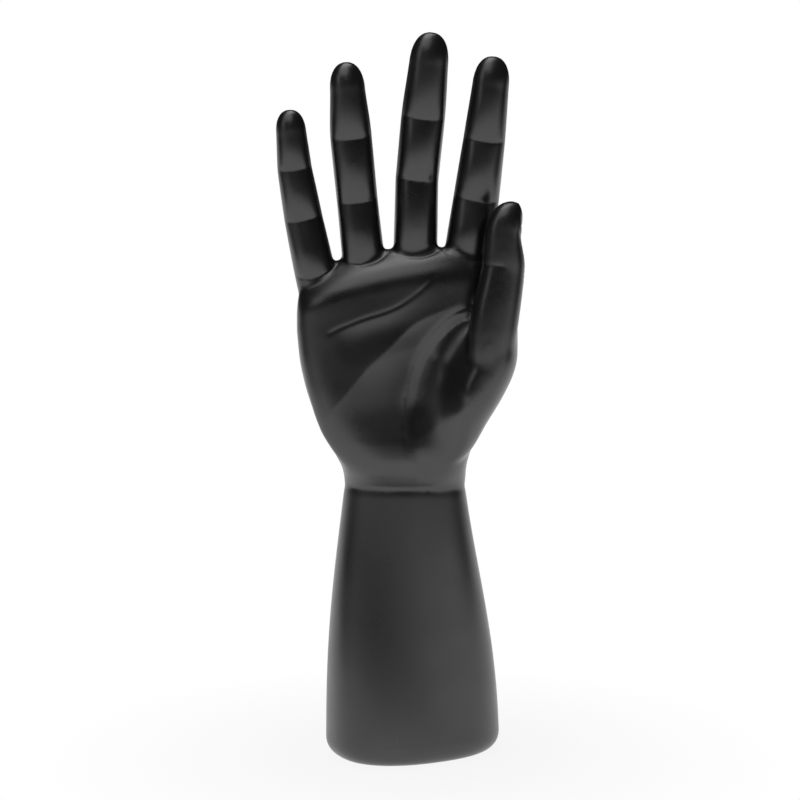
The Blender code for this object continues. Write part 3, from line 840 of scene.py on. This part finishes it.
    def carve(self, skin: bpy.types.Object) -> None:
        """Cuts the lines of the palm and wrist, the finger creases, the knuckle folds and the nails.

        Args:
            skin: The melted skin.
        """
        carver = Carver(skin.data)
        off_thumb = 1.0 - self.carve_thumb(carver)
        for digit in self.digits:
            self.carve_finger(carver, digit)
        self.sharpen_step(carver, off_thumb)
        self.carve_palm(carver, off_thumb)
        carver.finish()
        ease = skin.modifiers.new("ease_cuts", "SMOOTH")
        ease.factor = 0.5
        ease.iterations = 1
        apply_modifiers(skin)
        self.soften(skin, self.ball_softening)

    def carve_palm(self, carver: Carver, off_thumb: np.ndarray) -> None:
        """Raises the bulge below the little finger and cuts the palm lines and the wrist crease.

        Args:
            carver: The skin being carved.
            off_thumb: 1 on points off the thumb and 0 on the thumb.
        """
        x, y, z = carver.points.T
        weight = carver.facing_front * off_thumb * self.front_ramp.up(-y)
        bulge = np.exp(-(((x - self.bulge_x) / self.bulge_width) ** 2))
        bulge = bulge * self.bulge_high.down(z) * self.bulge_low.up(z)
        carver.push += self.bulge_depth * bulge * weight
        weight *= self.lines_low.up(z) * self.lines_high.down(z)
        for line in self.lines.values():
            carver.push += line.relief(x, z) * weight
        wrist = np.exp(-np.abs(z - self.forearm_height) / self.wrist_cut_reach)
        carver.push -= self.wrist_cut * wrist * carver.facing_front

    def palm_front(self, x: np.ndarray, z: np.ndarray) -> np.ndarray:
        """Gives how far the plain palm stands out to the front.

        Args:
            x: The points' X.
            z: The points' heights.

        Returns:
            The depth at each point.
        """
        share = (z - self.forearm_height) / (self.palm_length - self.top_rounding)
        marks = [level.share for level in self.palm_levels]
        left = np.interp(share, marks, [level.left for level in self.palm_levels])
        right = np.interp(share, marks, [level.right for level in self.palm_levels])
        front = np.interp(share, marks, [level.front for level in self.palm_levels])
        back = np.interp(share, marks, [level.back for level in self.palm_levels])
        across = np.clip(np.abs((2 * x - left - right) / (right - left)), 0, 1)
        power = self.palm_power(share)
        return (front - back) / 2 + (front + back) / 2 * (1 - across**power) ** (1 / power)

    def thenar_depth(self, x: np.ndarray, z: np.ndarray) -> np.ndarray:
        """Gives how far the ball of the thumb stands out: strip by the life line, crest and heel.

        Args:
            x: The points' X.
            z: The points' heights.

        Returns:
            The depth at each point.
        """
        life = self.lines["life"]
        inside = np.maximum(life.measure(x, z)[0], 0.0)
        ridge = np.maximum(self.ball_line.measure(x, z)[0], 0.0)
        below = np.maximum(self.thenar_edge.measure(x, z)[0], 0.0)
        path = life.path()[::-1]
        line_x = np.minimum(x, np.interp(z, path[:, 1], path[:, 0]))
        upper = self.fold_low.up(z)
        depth = self.palm_front(line_x, z)
        depth -= self.fold_depth * np.clip(inside / self.fold_width, 0, 1) * upper
        depth += self.ball_rise * self.ball_ramp.up(ridge) * upper
        depth -= self.heel_slope * self.heel_ramp.up(inside) * below
        root = self.thumb.root[2]
        crest = self.crest_front + self.crest_lean * (root - np.maximum(z, root - self.crest_run))
        crest -= self.crest_slope * below
        across = self.crest_ramp.up(ridge) * self.crest_high.down(z)
        return depth + np.maximum(crest - depth, 0.0) * across

    def sharpen_step(self, carver: Carver, off_thumb: np.ndarray) -> None:
        """Sharpens the step at the life line, which melting has softened.

        Args:
            carver: The skin being carved.
            off_thumb: 1 on points off the thumb and 0 on the thumb.
        """
        x, y, z = carver.points.T
        inside, _ = self.lines["life"].measure(x, z)
        weight = self.step_near.up(inside) * self.step_far.down(inside)
        weight *= off_thumb * carver.facing_front * self.front_ramp.up(-y)
        weight *= self.step_low.up(z) * self.step_high.down(z)
        carver.points[:, 1] += (-self.thenar_depth(x, z) - y) * weight

    def carve_finger(self, carver: Carver, digit: Digit) -> None:
        """Cuts a finger's creases, its knuckle folds and its nail.

        Args:
            carver: The skin being carved.
            digit: The finger.
        """
        along, aside, ahead, gap = carver.on_digit(digit)
        near = Ramp(digit.widths[0] * self.finger_reach, self.finger_fade).down(gap)
        share = aside / digit.widths[0]
        pad_side = near * self.pad_ramp.up(ahead / digit.fronts[0])
        for i, mark in enumerate(digit.creases()[:-1]):
            crease = self.joint_crease if i else self.root_crease
            place = along - mark - crease.bow * share**2
            carver.push -= crease.depth * np.exp(-np.abs(place) / crease.reach) * pad_side
        nail_side = near * self.nail_side.up(-ahead)
        self.carve_folds(carver, digit, along, share, nail_side)
        self.carve_nail(carver, digit, along, aside, nail_side)

    def carve_folds(
        self, carver: Carver, digit: Digit, along: np.ndarray, share: np.ndarray, weight: np.ndarray
    ) -> None:
        """Cuts the small folds of skin over the joints on the nail side.

        Args:
            carver: The skin being carved.
            digit: The finger or thumb.
            along: Distance along the digit.
            share: Distance to the side as a share of the digit's half width.
            weight: Where the folds may be.
        """
        for mark in digit.creases()[1:-1]:
            for place, depth in self.fold_cuts:
                arc = along - mark - place * (1 - self.fold_bow * share**2)
                cut = depth * np.exp(-((arc / self.fold_reach) ** 2))
                carver.push -= cut * weight * self.fold_ends.down(np.abs(share))

    def carve_nail(
        self, carver: Carver, digit: Digit, along: np.ndarray, aside: np.ndarray, weight: np.ndarray
    ) -> None:
        """Cuts the groove round a nail and lowers its plate into the finger.

        Args:
            carver: The skin being carved.
            digit: The finger or thumb.
            along: Distance along the digit.
            aside: Distance to the side.
            weight: Where the nail may be.
        """
        nail = self.nail
        half_width = digit.widths[-1] * nail.width_share
        length = digit.widths[-1] * nail.length_share
        middle = digit.creases()[-1] - length / 2 + nail.overhang
        across, lengthwise = np.abs(aside / half_width), np.abs((along - middle) / (length / 2))
        reach = (across**nail.squareness + lengthwise**nail.squareness) ** (1 / nail.squareness)
        depth_in = (1 - reach) * half_width
        plate = nail.crown * nail.crown_ramp.up(depth_in) - nail.sunk * nail.sunk_ramp.up(depth_in)
        rim = nail.rim * np.exp(-(((depth_in + nail.rim_gap) / nail.rim_width) ** 2))
        rim = rim * smooth_step((middle + length * nail.rim_end - along) / nail.rim_fade)
        carver.push += (plate + rim) * weight

    def carve_thumb(self, carver: Carver) -> np.ndarray:
        """Cuts the thumb's creases, folds and nail.

        Args:
            carver: The skin being carved.

        Returns:
            1 on the thumb's points and 0 elsewhere.
        """
        along, aside, ahead, gap = carver.on_digit(self.thumb)
        near = self.thumb_near.down(gap)
        share = aside / self.thumb.widths[0]
        mark = self.thumb.creases()[1]
        pad_side = near * self.thumb_pad.up(ahead)
        crease = self.thumb_crease
        place = along - mark - crease.bow * share**2
        carver.push -= crease.depth * np.exp(-np.abs(place) / crease.reach) * pad_side
        nail_side = near * self.nail_side.up(-ahead)
        self.carve_folds(carver, self.thumb, along, share, nail_side)
        self.carve_nail(carver, self.thumb, along, aside, nail_side)
        return near * self.thumb_root.up(along)

    def oval(self, inset: float, low: float, high: float, name: str) -> bpy.types.Object:
        """Builds an upright oval cutter for the underside.

        Args:
            inset: How far it is drawn in from the plug's flange edge.
            low: Height of its foot.
            high: Height of its head.
            name: The object's name.

        Returns:
            The cutter.
        """
        margin = self.base_rounding + self.plug_margin + inset
        rings = []
        for height in (low, high):
            part = Section(
                centre=Vector((0.0, 0.0, height)),
                side=Vector((math.cos(self.base_twist), math.sin(self.base_twist), 0.0)),
                front=Vector((math.sin(self.base_twist), -math.cos(self.base_twist), 0.0)),
                half_width=self.base_half_width - margin,
                ahead=self.base_half_depth - margin,
                behind=self.base_half_depth - margin,
                squareness=2.0,
            )
            rings.append(part.points(80))
        bm = bmesh.new()
        add_loft(bm, rings)
        return object_from(bm, name)

    def side_block(self, half: Half) -> bpy.types.Object:
        """Builds the block that fills one side of the parting sheet.

        Args:
            half: Which side.

        Returns:
            The block.
        """
        middle = self.digits[2]
        joints, ways = middle.joints(), middle.directions()
        low, high = Vector((0, 0, -self.cutter_drop)), joints[-1] + ways[-1] * 2 * self.cutter_drop
        sheet = [low] + joints[:-1] + [high]
        reach = 150 * MM
        shift = half.value * self.seam / 2
        near = [Vector((-reach, p.y + shift, p.z)) for p in sheet]
        far = [Vector((-reach, half.value * reach, p.z)) for p in sheet]
        bm = bmesh.new()
        outline = [bm.verts.new(point) for point in near + far[::-1]]
        face = bmesh.ops.contextual_create(bm, geom=outline)["faces"][0]
        grown = bmesh.ops.extrude_face_region(bm, geom=[face])["geom"]
        moved = [item for item in grown if isinstance(item, bmesh.types.BMVert)]
        bmesh.ops.translate(bm, verts=moved, vec=Vector((2 * reach, 0, 0)))
        bmesh.ops.recalc_face_normals(bm, faces=bm.faces)
        return object_from(bm, "side_block")

    def build(self) -> dict[Half, bpy.types.Object]:
        """Builds the two halves of the hand.

        Returns:
            The palm half and the back half.
        """
        skin = self.melted()
        self.carve(skin)
        LOG.info("skin: %d faces", len(skin.data.polygons))
        cutters = self.lofts(self.wall, *self.hollow_points, self.hollow_step)
        low = -self.cutter_drop
        cutters.append(self.oval(-self.plug_clearance, low, self.recess_depth, "recess_cutter"))
        cutters.append(self.oval(self.hole_inset, low, self.hole_depth, "hole_cutter"))
        combine(skin, cutters, "DIFFERENCE")
        halves = {}
        for half in Half:
            piece = bpy.data.objects.new(half.name.lower() + "_half", skin.data.copy())
            bpy.context.scene.collection.objects.link(piece)
            combine(piece, [self.side_block(half)], "INTERSECT")
            piece.data.shade_smooth()
            piece.data.set_sharp_from_angle(angle=math.radians(50))
            halves[half] = piece
        bpy.data.objects.remove(skin)
        return halves


def object_from(bm: bmesh.types.BMesh, name: str) -> bpy.types.Object:
    """Turns a bmesh into an object in the scene.

    Args:
        bm: The mesh, which is freed.
        name: The object's name.

    Returns:
        The object.
    """
    mesh = bpy.data.meshes.new(name)
    bm.to_mesh(mesh)
    bm.free()
    made = bpy.data.objects.new(name, mesh)
    bpy.context.scene.collection.objects.link(made)
    return made


def apply_modifiers(obj: bpy.types.Object) -> None:
    """Carries out an object's modifiers on its mesh.

    Args:
        obj: The object.
    """
    bpy.context.view_layer.update()
    graph = bpy.context.evaluated_depsgraph_get()
    mesh = bpy.data.meshes.new_from_object(obj.evaluated_get(graph))
    obj.modifiers.clear()
    obj.data = mesh


def combine(target: bpy.types.Object, others: list[bpy.types.Object], operation: str) -> None:
    """Cuts or joins a target with other closed objects, which are then removed.

    Args:
        target: The object that changes.
        others: The objects it is cut or joined with.
        operation: The Boolean operation.
    """
    for other in others:
        step = target.modifiers.new("step", "BOOLEAN")
        step.operation = operation
        step.solver = "MANIFOLD"
        step.object = other
    apply_modifiers(target)
    for other in others:
        bpy.data.objects.remove(other)


class Graph:
    """A node tree, built by adding nodes with their values and links at once."""

    def __init__(self, tree: bpy.types.NodeTree) -> None:
        """Takes the tree.

        Args:
            tree: The node tree of a material or of the world.
        """
        self.tree = tree

    def fill(self, node: bpy.types.Node, inputs: dict[str | int, object]) -> None:
        """Sets a node's inputs.

        Args:
            node: The node.
            inputs: A value to set or a socket to link, for each input's name or number.
        """
        for name, value in inputs.items():
            if isinstance(value, bpy.types.NodeSocket):
                self.tree.links.new(value, node.inputs[name])
            else:
                node.inputs[name].default_value = value

    def add(self, kind: str, inputs: dict[str | int, object] | None = None) -> bpy.types.Node:
        """Adds a node.

        Args:
            kind: The node's type, after the words that all types begin with.
            inputs: A value to set or a socket to link, for each input's name or number.

        Returns:
            The node.
        """
        node = self.tree.nodes.new("ShaderNode" + kind)
        self.fill(node, inputs or {})
        return node

    def maths(self, operation: str, *terms: object) -> bpy.types.NodeSocket:
        """Adds a node that works out a number.

        Args:
            operation: What it works out.
            terms: The values or sockets it works on.

        Returns:
            The socket with the result.
        """
        node = self.add("Math")
        node.operation = operation
        self.fill(node, dict(enumerate(terms)))
        return node.outputs["Value"]

    def ramp(
        self,
        value: bpy.types.NodeSocket,
        places: tuple[float, float],
        levels: tuple[float, float],
        smooth: bool = False,
    ) -> bpy.types.NodeSocket:
        """Adds a node that goes from one level to another between two places.

        Args:
            value: The socket with the place.
            places: Where the change begins and ends.
            levels: The levels before and after it.
            smooth: Whether the change begins and ends gently.

        Returns:
            The socket with the level.
        """
        names = ("From Min", "From Max", "To Min", "To Max")
        node = self.add("MapRange", {"Value": value, **dict(zip(names, places + levels))})
        node.interpolation_type = "SMOOTHSTEP" if smooth else "LINEAR"
        return node.outputs["Result"]

    def noise(self, place: bpy.types.NodeSocket, size: float, detail: float) -> bpy.types.NodeSocket:
        """Adds a noise.

        Args:
            place: The socket with the coordinates.
            size: How large its patches are.
            detail: How much finer detail it has.

        Returns:
            The socket with the noise.
        """
        return self.add("TexNoise", {"Vector": place, "Scale": 1 / size, "Detail": detail}).outputs["Fac"]


@dataclass(frozen=True)
class MouldedPlastic:
    """Moulded black plastic: a dark body, a gloss that varies a little, and the mould's fine grain."""

    name: str
    colour: tuple[float, float, float]
    roughness_low: float
    roughness_high: float
    specular: float = 0.5
    grain_size: float = 0.45 * MM
    grain_depth: float = 0.012 * MM
    patch_size: float = 18.0 * MM

    def material(self) -> bpy.types.Material:
        """Builds the material."""
        made = bpy.data.materials.new(self.name)
        made.use_nodes = True
        graph = Graph(made.node_tree)
        place = graph.add("TexCoord").outputs["Object"]
        patches = graph.noise(place, self.patch_size, 3.0)
        grain = graph.noise(place, self.grain_size, 2.0)
        bump = graph.add("Bump", {"Strength": 1.0, "Distance": self.grain_depth, "Height": grain})
        surface = {
            "Base Color": (*self.colour, 1.0),
            "Specular IOR Level": self.specular,
            "Roughness": graph.ramp(patches, (0.3, 0.7), (self.roughness_low, self.roughness_high)),
            "Normal": bump.outputs["Normal"],
        }
        graph.fill(made.node_tree.nodes["Principled BSDF"], surface)
        return made


@dataclass(frozen=True)
class CastIron:
    """Rough cast iron, grey with rusty patches."""

    name: str = "cast_iron"
    iron: tuple[float, float, float] = (0.075, 0.07, 0.066)
    rust: tuple[float, float, float] = (0.14, 0.1, 0.075)
    patch_size: float = 1 / 180.0
    pit_depth: float = 0.2 * MM

    def material(self) -> bpy.types.Material:
        """Builds the material."""
        made = bpy.data.materials.new(self.name)
        made.use_nodes = True
        graph = Graph(made.node_tree)
        patches = graph.noise(graph.add("TexCoord").outputs["Object"], self.patch_size, 6.0)
        tint = graph.add("ValToRGB", {"Fac": patches})
        for stop, place, colour in zip(tint.color_ramp.elements, (0.35, 0.7), (self.iron, self.rust)):
            stop.position = place
            stop.color = (*colour, 1.0)
        bump = graph.add("Bump", {"Distance": self.pit_depth, "Height": patches})
        surface = {
            "Metallic": 0.85,
            "Roughness": 0.65,
            "Base Color": tint.outputs["Color"],
            "Normal": bump.outputs["Normal"],
        }
        graph.fill(made.node_tree.nodes["Principled BSDF"], surface)
        return made


@dataclass(frozen=True)
class Softbox:
    """An area lamp: where it is, what it looks at, its size and its power."""

    name: str
    place: tuple[float, float, float]
    target: tuple[float, float, float]
    size: tuple[float, float]
    power: float


@dataclass
class Studio:
    """The white floor, the lamps and the camera."""

    camera_place: tuple[float, float, float] = (-5.51 * MM, -785.0 * MM, 217.66 * MM)
    camera_tilt: float = math.radians(5.0)
    lens: float = 85.0
    horizon_low: float = 0.0
    horizon_high: float = 0.13
    room_level: float = 0.035
    strip_half_width: float = 1.1
    strip_fade: float = 0.6
    strip_widening: float = 1.4
    glow_edge: tuple[float, float] = (0.82, 1.0)
    floor_colour: tuple[float, float, float] = (0.85, 0.85, 0.85)
    shadow_edge: tuple[float, float] = (0.04, 0.16)
    shadow_levels: tuple[float, float] = (0.9, 1.0)
    softboxes: tuple[Softbox, ...] = ()

    def floor(self) -> bpy.types.Object:
        """Builds the floor, which shows white to the camera and in reflections and keeps a faint shadow."""
        bm = bmesh.new()
        bmesh.ops.create_grid(bm, x_segments=1, y_segments=1, size=3.0)
        bmesh.ops.translate(bm, verts=bm.verts, vec=Vector((0, 0, -0.3 * MM)))
        floor = object_from(bm, "floor")
        made = bpy.data.materials.new("white_floor")
        made.use_nodes = True
        graph, nodes = Graph(made.node_tree), made.node_tree.nodes
        nodes.remove(nodes["Principled BSDF"])
        path = graph.add("LightPath")
        place = graph.add("TexCoord").outputs["Object"]
        seen = graph.maths("MAXIMUM", path.outputs["Is Camera Ray"], path.outputs["Is Glossy Ray"])
        clear = graph.maths("MAXIMUM", seen, path.outputs["Is Transmission Ray"])
        kept = graph.maths("MAXIMUM", self.in_strip(graph, place), path.outputs["Is Camera Ray"])
        far = graph.add("VectorMath")
        far.operation = "LENGTH"
        graph.fill(far, {0: place})
        whiteness = graph.ramp(far.outputs["Value"], self.shadow_edge, self.shadow_levels)
        share = graph.maths("MULTIPLY", graph.maths("MULTIPLY", clear, kept), whiteness)
        lit = graph.add("BsdfDiffuse", {"Color": (*self.floor_colour, 1.0)})
        white = graph.add("Emission", {"Color": (1.0, 1.0, 1.0, 1.0)})
        mix = graph.add("MixShader", {0: share, 1: lit.outputs["BSDF"], 2: white.outputs["Emission"]})
        graph.fill(nodes["Material Output"], {"Surface": mix.outputs["Shader"]})
        floor.data.materials.append(made)
        return floor

    def in_strip(self, graph: Graph, place: bpy.types.NodeSocket) -> bpy.types.NodeSocket:
        """Says where reflections show the floor white: along a strip that widens to the front and back.

        Args:
            graph: The floor's material.
            place: The socket with the place on the floor.

        Returns:
            The socket with the share of white.
        """
        parts = graph.add("SeparateXYZ", {"Vector": place})
        sideways = graph.maths("ABSOLUTE", parts.outputs["X"])
        away = graph.maths("ABSOLUTE", parts.outputs["Y"])
        aside = graph.maths("MULTIPLY_ADD", away, -self.strip_widening, sideways)
        edges = (self.strip_half_width, self.strip_half_width + self.strip_fade)
        return graph.ramp(aside, edges, (1.0, 0.0))

    def world(self) -> None:
        """Makes the room white to the camera, and in reflections white up to the horizon and dark above."""
        world = bpy.data.worlds.new("white_room")
        world.use_nodes = True
        graph, nodes = Graph(world.node_tree), world.node_tree.nodes
        parts = graph.add("SeparateXYZ", {"Vector": graph.add("TexCoord").outputs["Object"]})
        levels = (1.0, self.room_level)
        horizon = graph.ramp(parts.outputs["Z"], (self.horizon_low, self.horizon_high), levels, smooth=True)
        glow = graph.ramp(graph.maths("ABSOLUTE", parts.outputs["X"]), self.glow_edge, levels)
        colour = (1.0, 1.0, 1.0, 1.0)
        room = nodes["Background"]
        graph.fill(room, {"Color": colour, "Strength": graph.maths("MINIMUM", horizon, glow)})
        white = graph.add("Background", {"Color": colour})
        seen = graph.add("LightPath").outputs["Is Camera Ray"]
        sides = (room.outputs["Background"], white.outputs["Background"])
        mix = graph.add("MixShader", dict(enumerate((seen,) + sides)))
        graph.fill(nodes["World Output"], {"Surface": mix.outputs["Shader"]})
        bpy.context.scene.world = world

    def lamps(self) -> None:
        """Hangs the softboxes."""
        for box in self.softboxes:
            data = bpy.data.lights.new(box.name, "AREA")
            data.shape = "RECTANGLE"
            data.size, data.size_y = box.size
            data.energy = box.power
            lamp = bpy.data.objects.new(box.name, data)
            lamp.location = box.place
            way = Vector(box.target) - Vector(box.place)
            lamp.rotation_euler = way.to_track_quat("-Z", "Y").to_euler()
            lamp.visible_camera = False
            bpy.context.scene.collection.objects.link(lamp)

    def camera(self) -> None:
        """Places the camera at the photograph's angle."""
        data = bpy.data.cameras.new("camera")
        data.lens = self.lens
        data.sensor_width = 36.0
        data.clip_start = 0.01
        camera = bpy.data.objects.new("camera", data)
        camera.location = self.camera_place
        camera.rotation_euler = (math.pi / 2 - self.camera_tilt, 0.0, 0.0)
        bpy.context.scene.collection.objects.link(camera)
        bpy.context.scene.camera = camera

    def build(self) -> None:
        """Builds the whole studio."""
        self.floor()
        self.world()
        self.lamps()
        self.camera()
        bpy.context.scene.view_settings.view_transform = "Standard"


WRIST_HEIGHT = 114.0 * MM
WEB_HEIGHT = 213.0 * MM

PALM_LEVELS = (
    Level(0.00, *mm(-28.6, 21.6, 16.6, 17.6)),
    Level(0.05, *mm(-28.9, 21.9, 19.6, 17.9)),
    Level(0.10, *mm(-29.6, 22.1, 22.1, 17.8)),
    Level(0.16, *mm(-31.6, 23.0, 23.2, 17.5)),
    Level(0.23, *mm(-34.4, 24.7, 23.0, 17.1)),
    Level(0.31, *mm(-37.6, 27.1, 22.4, 16.4)),
    Level(0.45, *mm(-41.6, 30.0, 21.2, 15.2)),
    Level(0.62, *mm(-45.0, 32.8, 19.9, 13.8)),
    Level(0.80, *mm(-47.1, 34.1, 18.5, 12.5)),
    Level(1.00, *mm(-48.2, 34.2, 16.7, 11.6)),
)
THENAR_SIDE = (
    (0.00, *mm(12.0, 9.0)),
    (0.16, *mm(23.8, 10.0)),
    (0.31, *mm(30.2, 9.0)),
    (0.47, *mm(37.2, 6.0)),
    (0.60, *mm(41.4, 1.0)),
    (0.68, *mm(42.6, -3.0)),
    (0.80, *mm(42.6, -7.0)),
    (0.91, *mm(42.0, -9.0)),
    (1.00, *mm(40.0, -10.0)),
)
LITTLE = Digit(
    name="little",
    root=(-40.3 * MM, 0.0, WEB_HEIGHT - 13.0 * MM),
    lengths=mm(24.0, 21.0, 25.0),
    leans=(-12.0, -10.0, -5.0),
    flexes=(-1.5, 1.5, 3.0),
    widths=mm(8.5, 8.0, 7.2, 6.3),
    fronts=mm(8.4, 6.6, 6.2, 4.9),
    backs=mm(7.8, 7.2, 6.0, 4.2),
    pad_swell=1.3 * MM,
    tip_length=10.0 * MM,
    stub=38.0 * MM,
    knuckle=9.6 * MM,
)
RING = Digit(
    name="ring",
    root=(-20.4 * MM, 0.0, WEB_HEIGHT - 7.5 * MM),
    lengths=mm(25.5, 26.0, 31.6),
    leans=(-6.0, -5.6, -4.0),
    flexes=(0.0, 2.5, 3.0),
    widths=mm(8.8, 8.5, 8.6, 7.3),
    fronts=mm(8.3, 7.6, 7.2, 5.6),
    backs=mm(8.8, 8.2, 6.8, 4.8),
    pad_swell=1.6 * MM,
    tip_length=12.0 * MM,
    stub=42.0 * MM,
    knuckle=11.2 * MM,
)
MIDDLE = Digit(
    name="middle",
    root=(0.8 * MM, 0.0, WEB_HEIGHT - 4.5 * MM),
    lengths=mm(31.5, 25.0, 35.6),
    leans=(1.2, 5.6, 5.9),
    flexes=(0.0, 2.5, 3.0),
    widths=mm(9.1, 8.9, 9.05, 8.1),
    fronts=mm(8.6, 7.9, 7.5, 5.8),
    backs=mm(9.2, 8.5, 7.0, 5.0),
    pad_swell=1.7 * MM,
    tip_length=13.5 * MM,
    stub=42.0 * MM,
    knuckle=11.8 * MM,
)
INDEX = Digit(
    name="index",
    root=(22.4 * MM, 0.0, WEB_HEIGHT - 6.0 * MM),
    lengths=mm(24.8, 24.5, 35.0),
    leans=(8.0, 7.6, 6.4),
    flexes=(-1.0, 2.0, 3.0),
    widths=mm(10.0, 9.5, 8.7, 7.6),
    fronts=mm(8.5, 7.8, 7.4, 5.7),
    backs=mm(9.2, 8.4, 6.9, 4.9),
    pad_swell=1.6 * MM,
    tip_length=12.5 * MM,
    stub=42.0 * MM,
    knuckle=11.4 * MM,
)
THUMB = Digit(
    name="thumb",
    root=(31.6 * MM, -21.2 * MM, WRIST_HEIGHT + 60.0 * MM),
    lengths=mm(30.0, 28.0),
    leans=(8.7, 10.6),
    flexes=(-5.5, -3.5),
    widths=mm(8.2, 7.4, 6.4),
    fronts=mm(9.8, 8.8, 9.4),
    backs=mm(9.6, 9.2, 4.3),
    pad_swell=0.7 * MM,
    tip_length=13.0 * MM,
    stub=14.0 * MM,
    knuckle=8.0 * MM,
    turn=math.radians(80.0),
    side_swell=0.35 * MM,
)

PALM_LINES = {
    "heart": PalmLine(
        points=(
            (9.2, 202.2), (5.5, 197.3), (-2.6, 190.8), (-10.4, 186.7),
            (-20.8, 183.3), (-29.6, 179.8), (-36.0, 176.6),
        ),
        crease_depth=0.3 * MM,
        crease_reach=0.6 * MM,
        drop=0.7 * MM,
        lead=0.8 * MM,
        wall=6.5 * MM,
        fade=11.0 * MM,
        grow=0.6,
        die=0.3,
    ),
    "head": PalmLine(
        points=(
            (23.1, 190.6), (17.0, 188.8), (8.8, 185.6), (1.9, 182.4), (-3.5, 178.3),
            (-11.6, 170.2), (-19.8, 162.2), (-26.6, 154.0), (-32.6, 146.0), (-37.4, 136.0), (-40.0, 124.0),
        ),
        drop=1.4 * MM,
        wall=7.0 * MM,
        spread=1.0,
        fade=200.0 * MM,
        grow=0.5,
        die=0.02,
    ),
    "life": PalmLine(
        points=(
            (24.4, 188.3), (17.0, 186.0), (10.9, 181.5), (4.7, 174.5), (0.2, 166.0),
            (-2.6, 155.3), (-3.9, 144.2), (-3.0, 133.9), (-1.5, 124.0), (0.0, 104.0),
        ),
        crease_depth=0.4 * MM,
        crease_reach=0.8 * MM,
    ),
}
THENAR_EDGE = PalmLine(points=((42.2, 166.3), (22.6, 149.3), (10.6, 141.1), (0.5, 134.9)))
BALL_LINE = PalmLine(
    points=(
        (25.0, 184.0), (18.5, 180.3), (13.2, 175.5), (9.4, 170.0), (6.5, 164.0),
        (4.4, 158.0), (3.2, 151.0), (3.0, 142.0), (5.0, 128.0), (7.0, 106.0),
    ),
)

SHELL_PLASTIC = MouldedPlastic(
    name="shell_plastic",
    colour=(0.0075, 0.0075, 0.0082),
    roughness_low=0.26,
    roughness_high=0.34,
    specular=1.0,
)
PLUG_PLASTIC = MouldedPlastic(
    name="plug_plastic",
    colour=(0.016, 0.016, 0.017),
    roughness_low=0.42,
    roughness_high=0.55,
    grain_depth=0.03 * MM,
)
SOFTBOXES = (
    Softbox("key", (-0.35, -0.6, 1.2), (0.0, 0.0, 0.18), (0.9, 0.6), 2.0),
    Softbox("top", (-0.1, 0.05, 1.4), (0.0, 0.0, 0.2), (0.9, 0.6), 4.0),
    Softbox("left", (-0.9, -0.68, 0.8), (0.015, -0.025, 0.17), (0.4, 0.4), 0.45),
)


def main() -> None:
    """Builds the hand and the studio."""
    logging.basicConfig(level=logging.INFO, format="%(message)s")
    fingers = (LITTLE, RING, MIDDLE, INDEX)
    skin = HandSkin(fingers, THUMB, PALM_LEVELS, THENAR_SIDE, PALM_LINES, THENAR_EDGE, BALL_LINE)
    halves = skin.build()
    shell = SHELL_PLASTIC.material()
    for half, node in ((Half.PALM, "palm_shell"), (Half.BACK, "back_shell")):
        piece = halves[half]
        piece.data.materials.clear()
        piece.data.materials.append(shell)
        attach(piece, "root")
        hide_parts(node)
        LOG.info("%s: %d faces", piece.name, len(piece.data.polygons))
    for node, finish in (("base_plug", PLUG_PLASTIC), ("ballast_weight", CastIron())):
        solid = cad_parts[node]
        solid.data.materials.clear()
        solid.data.materials.append(finish.material())
        LOG.info("%s: %s", node, finish.name)
    Studio(softboxes=SOFTBOXES).build()


if __name__ == "__main__":
    main()
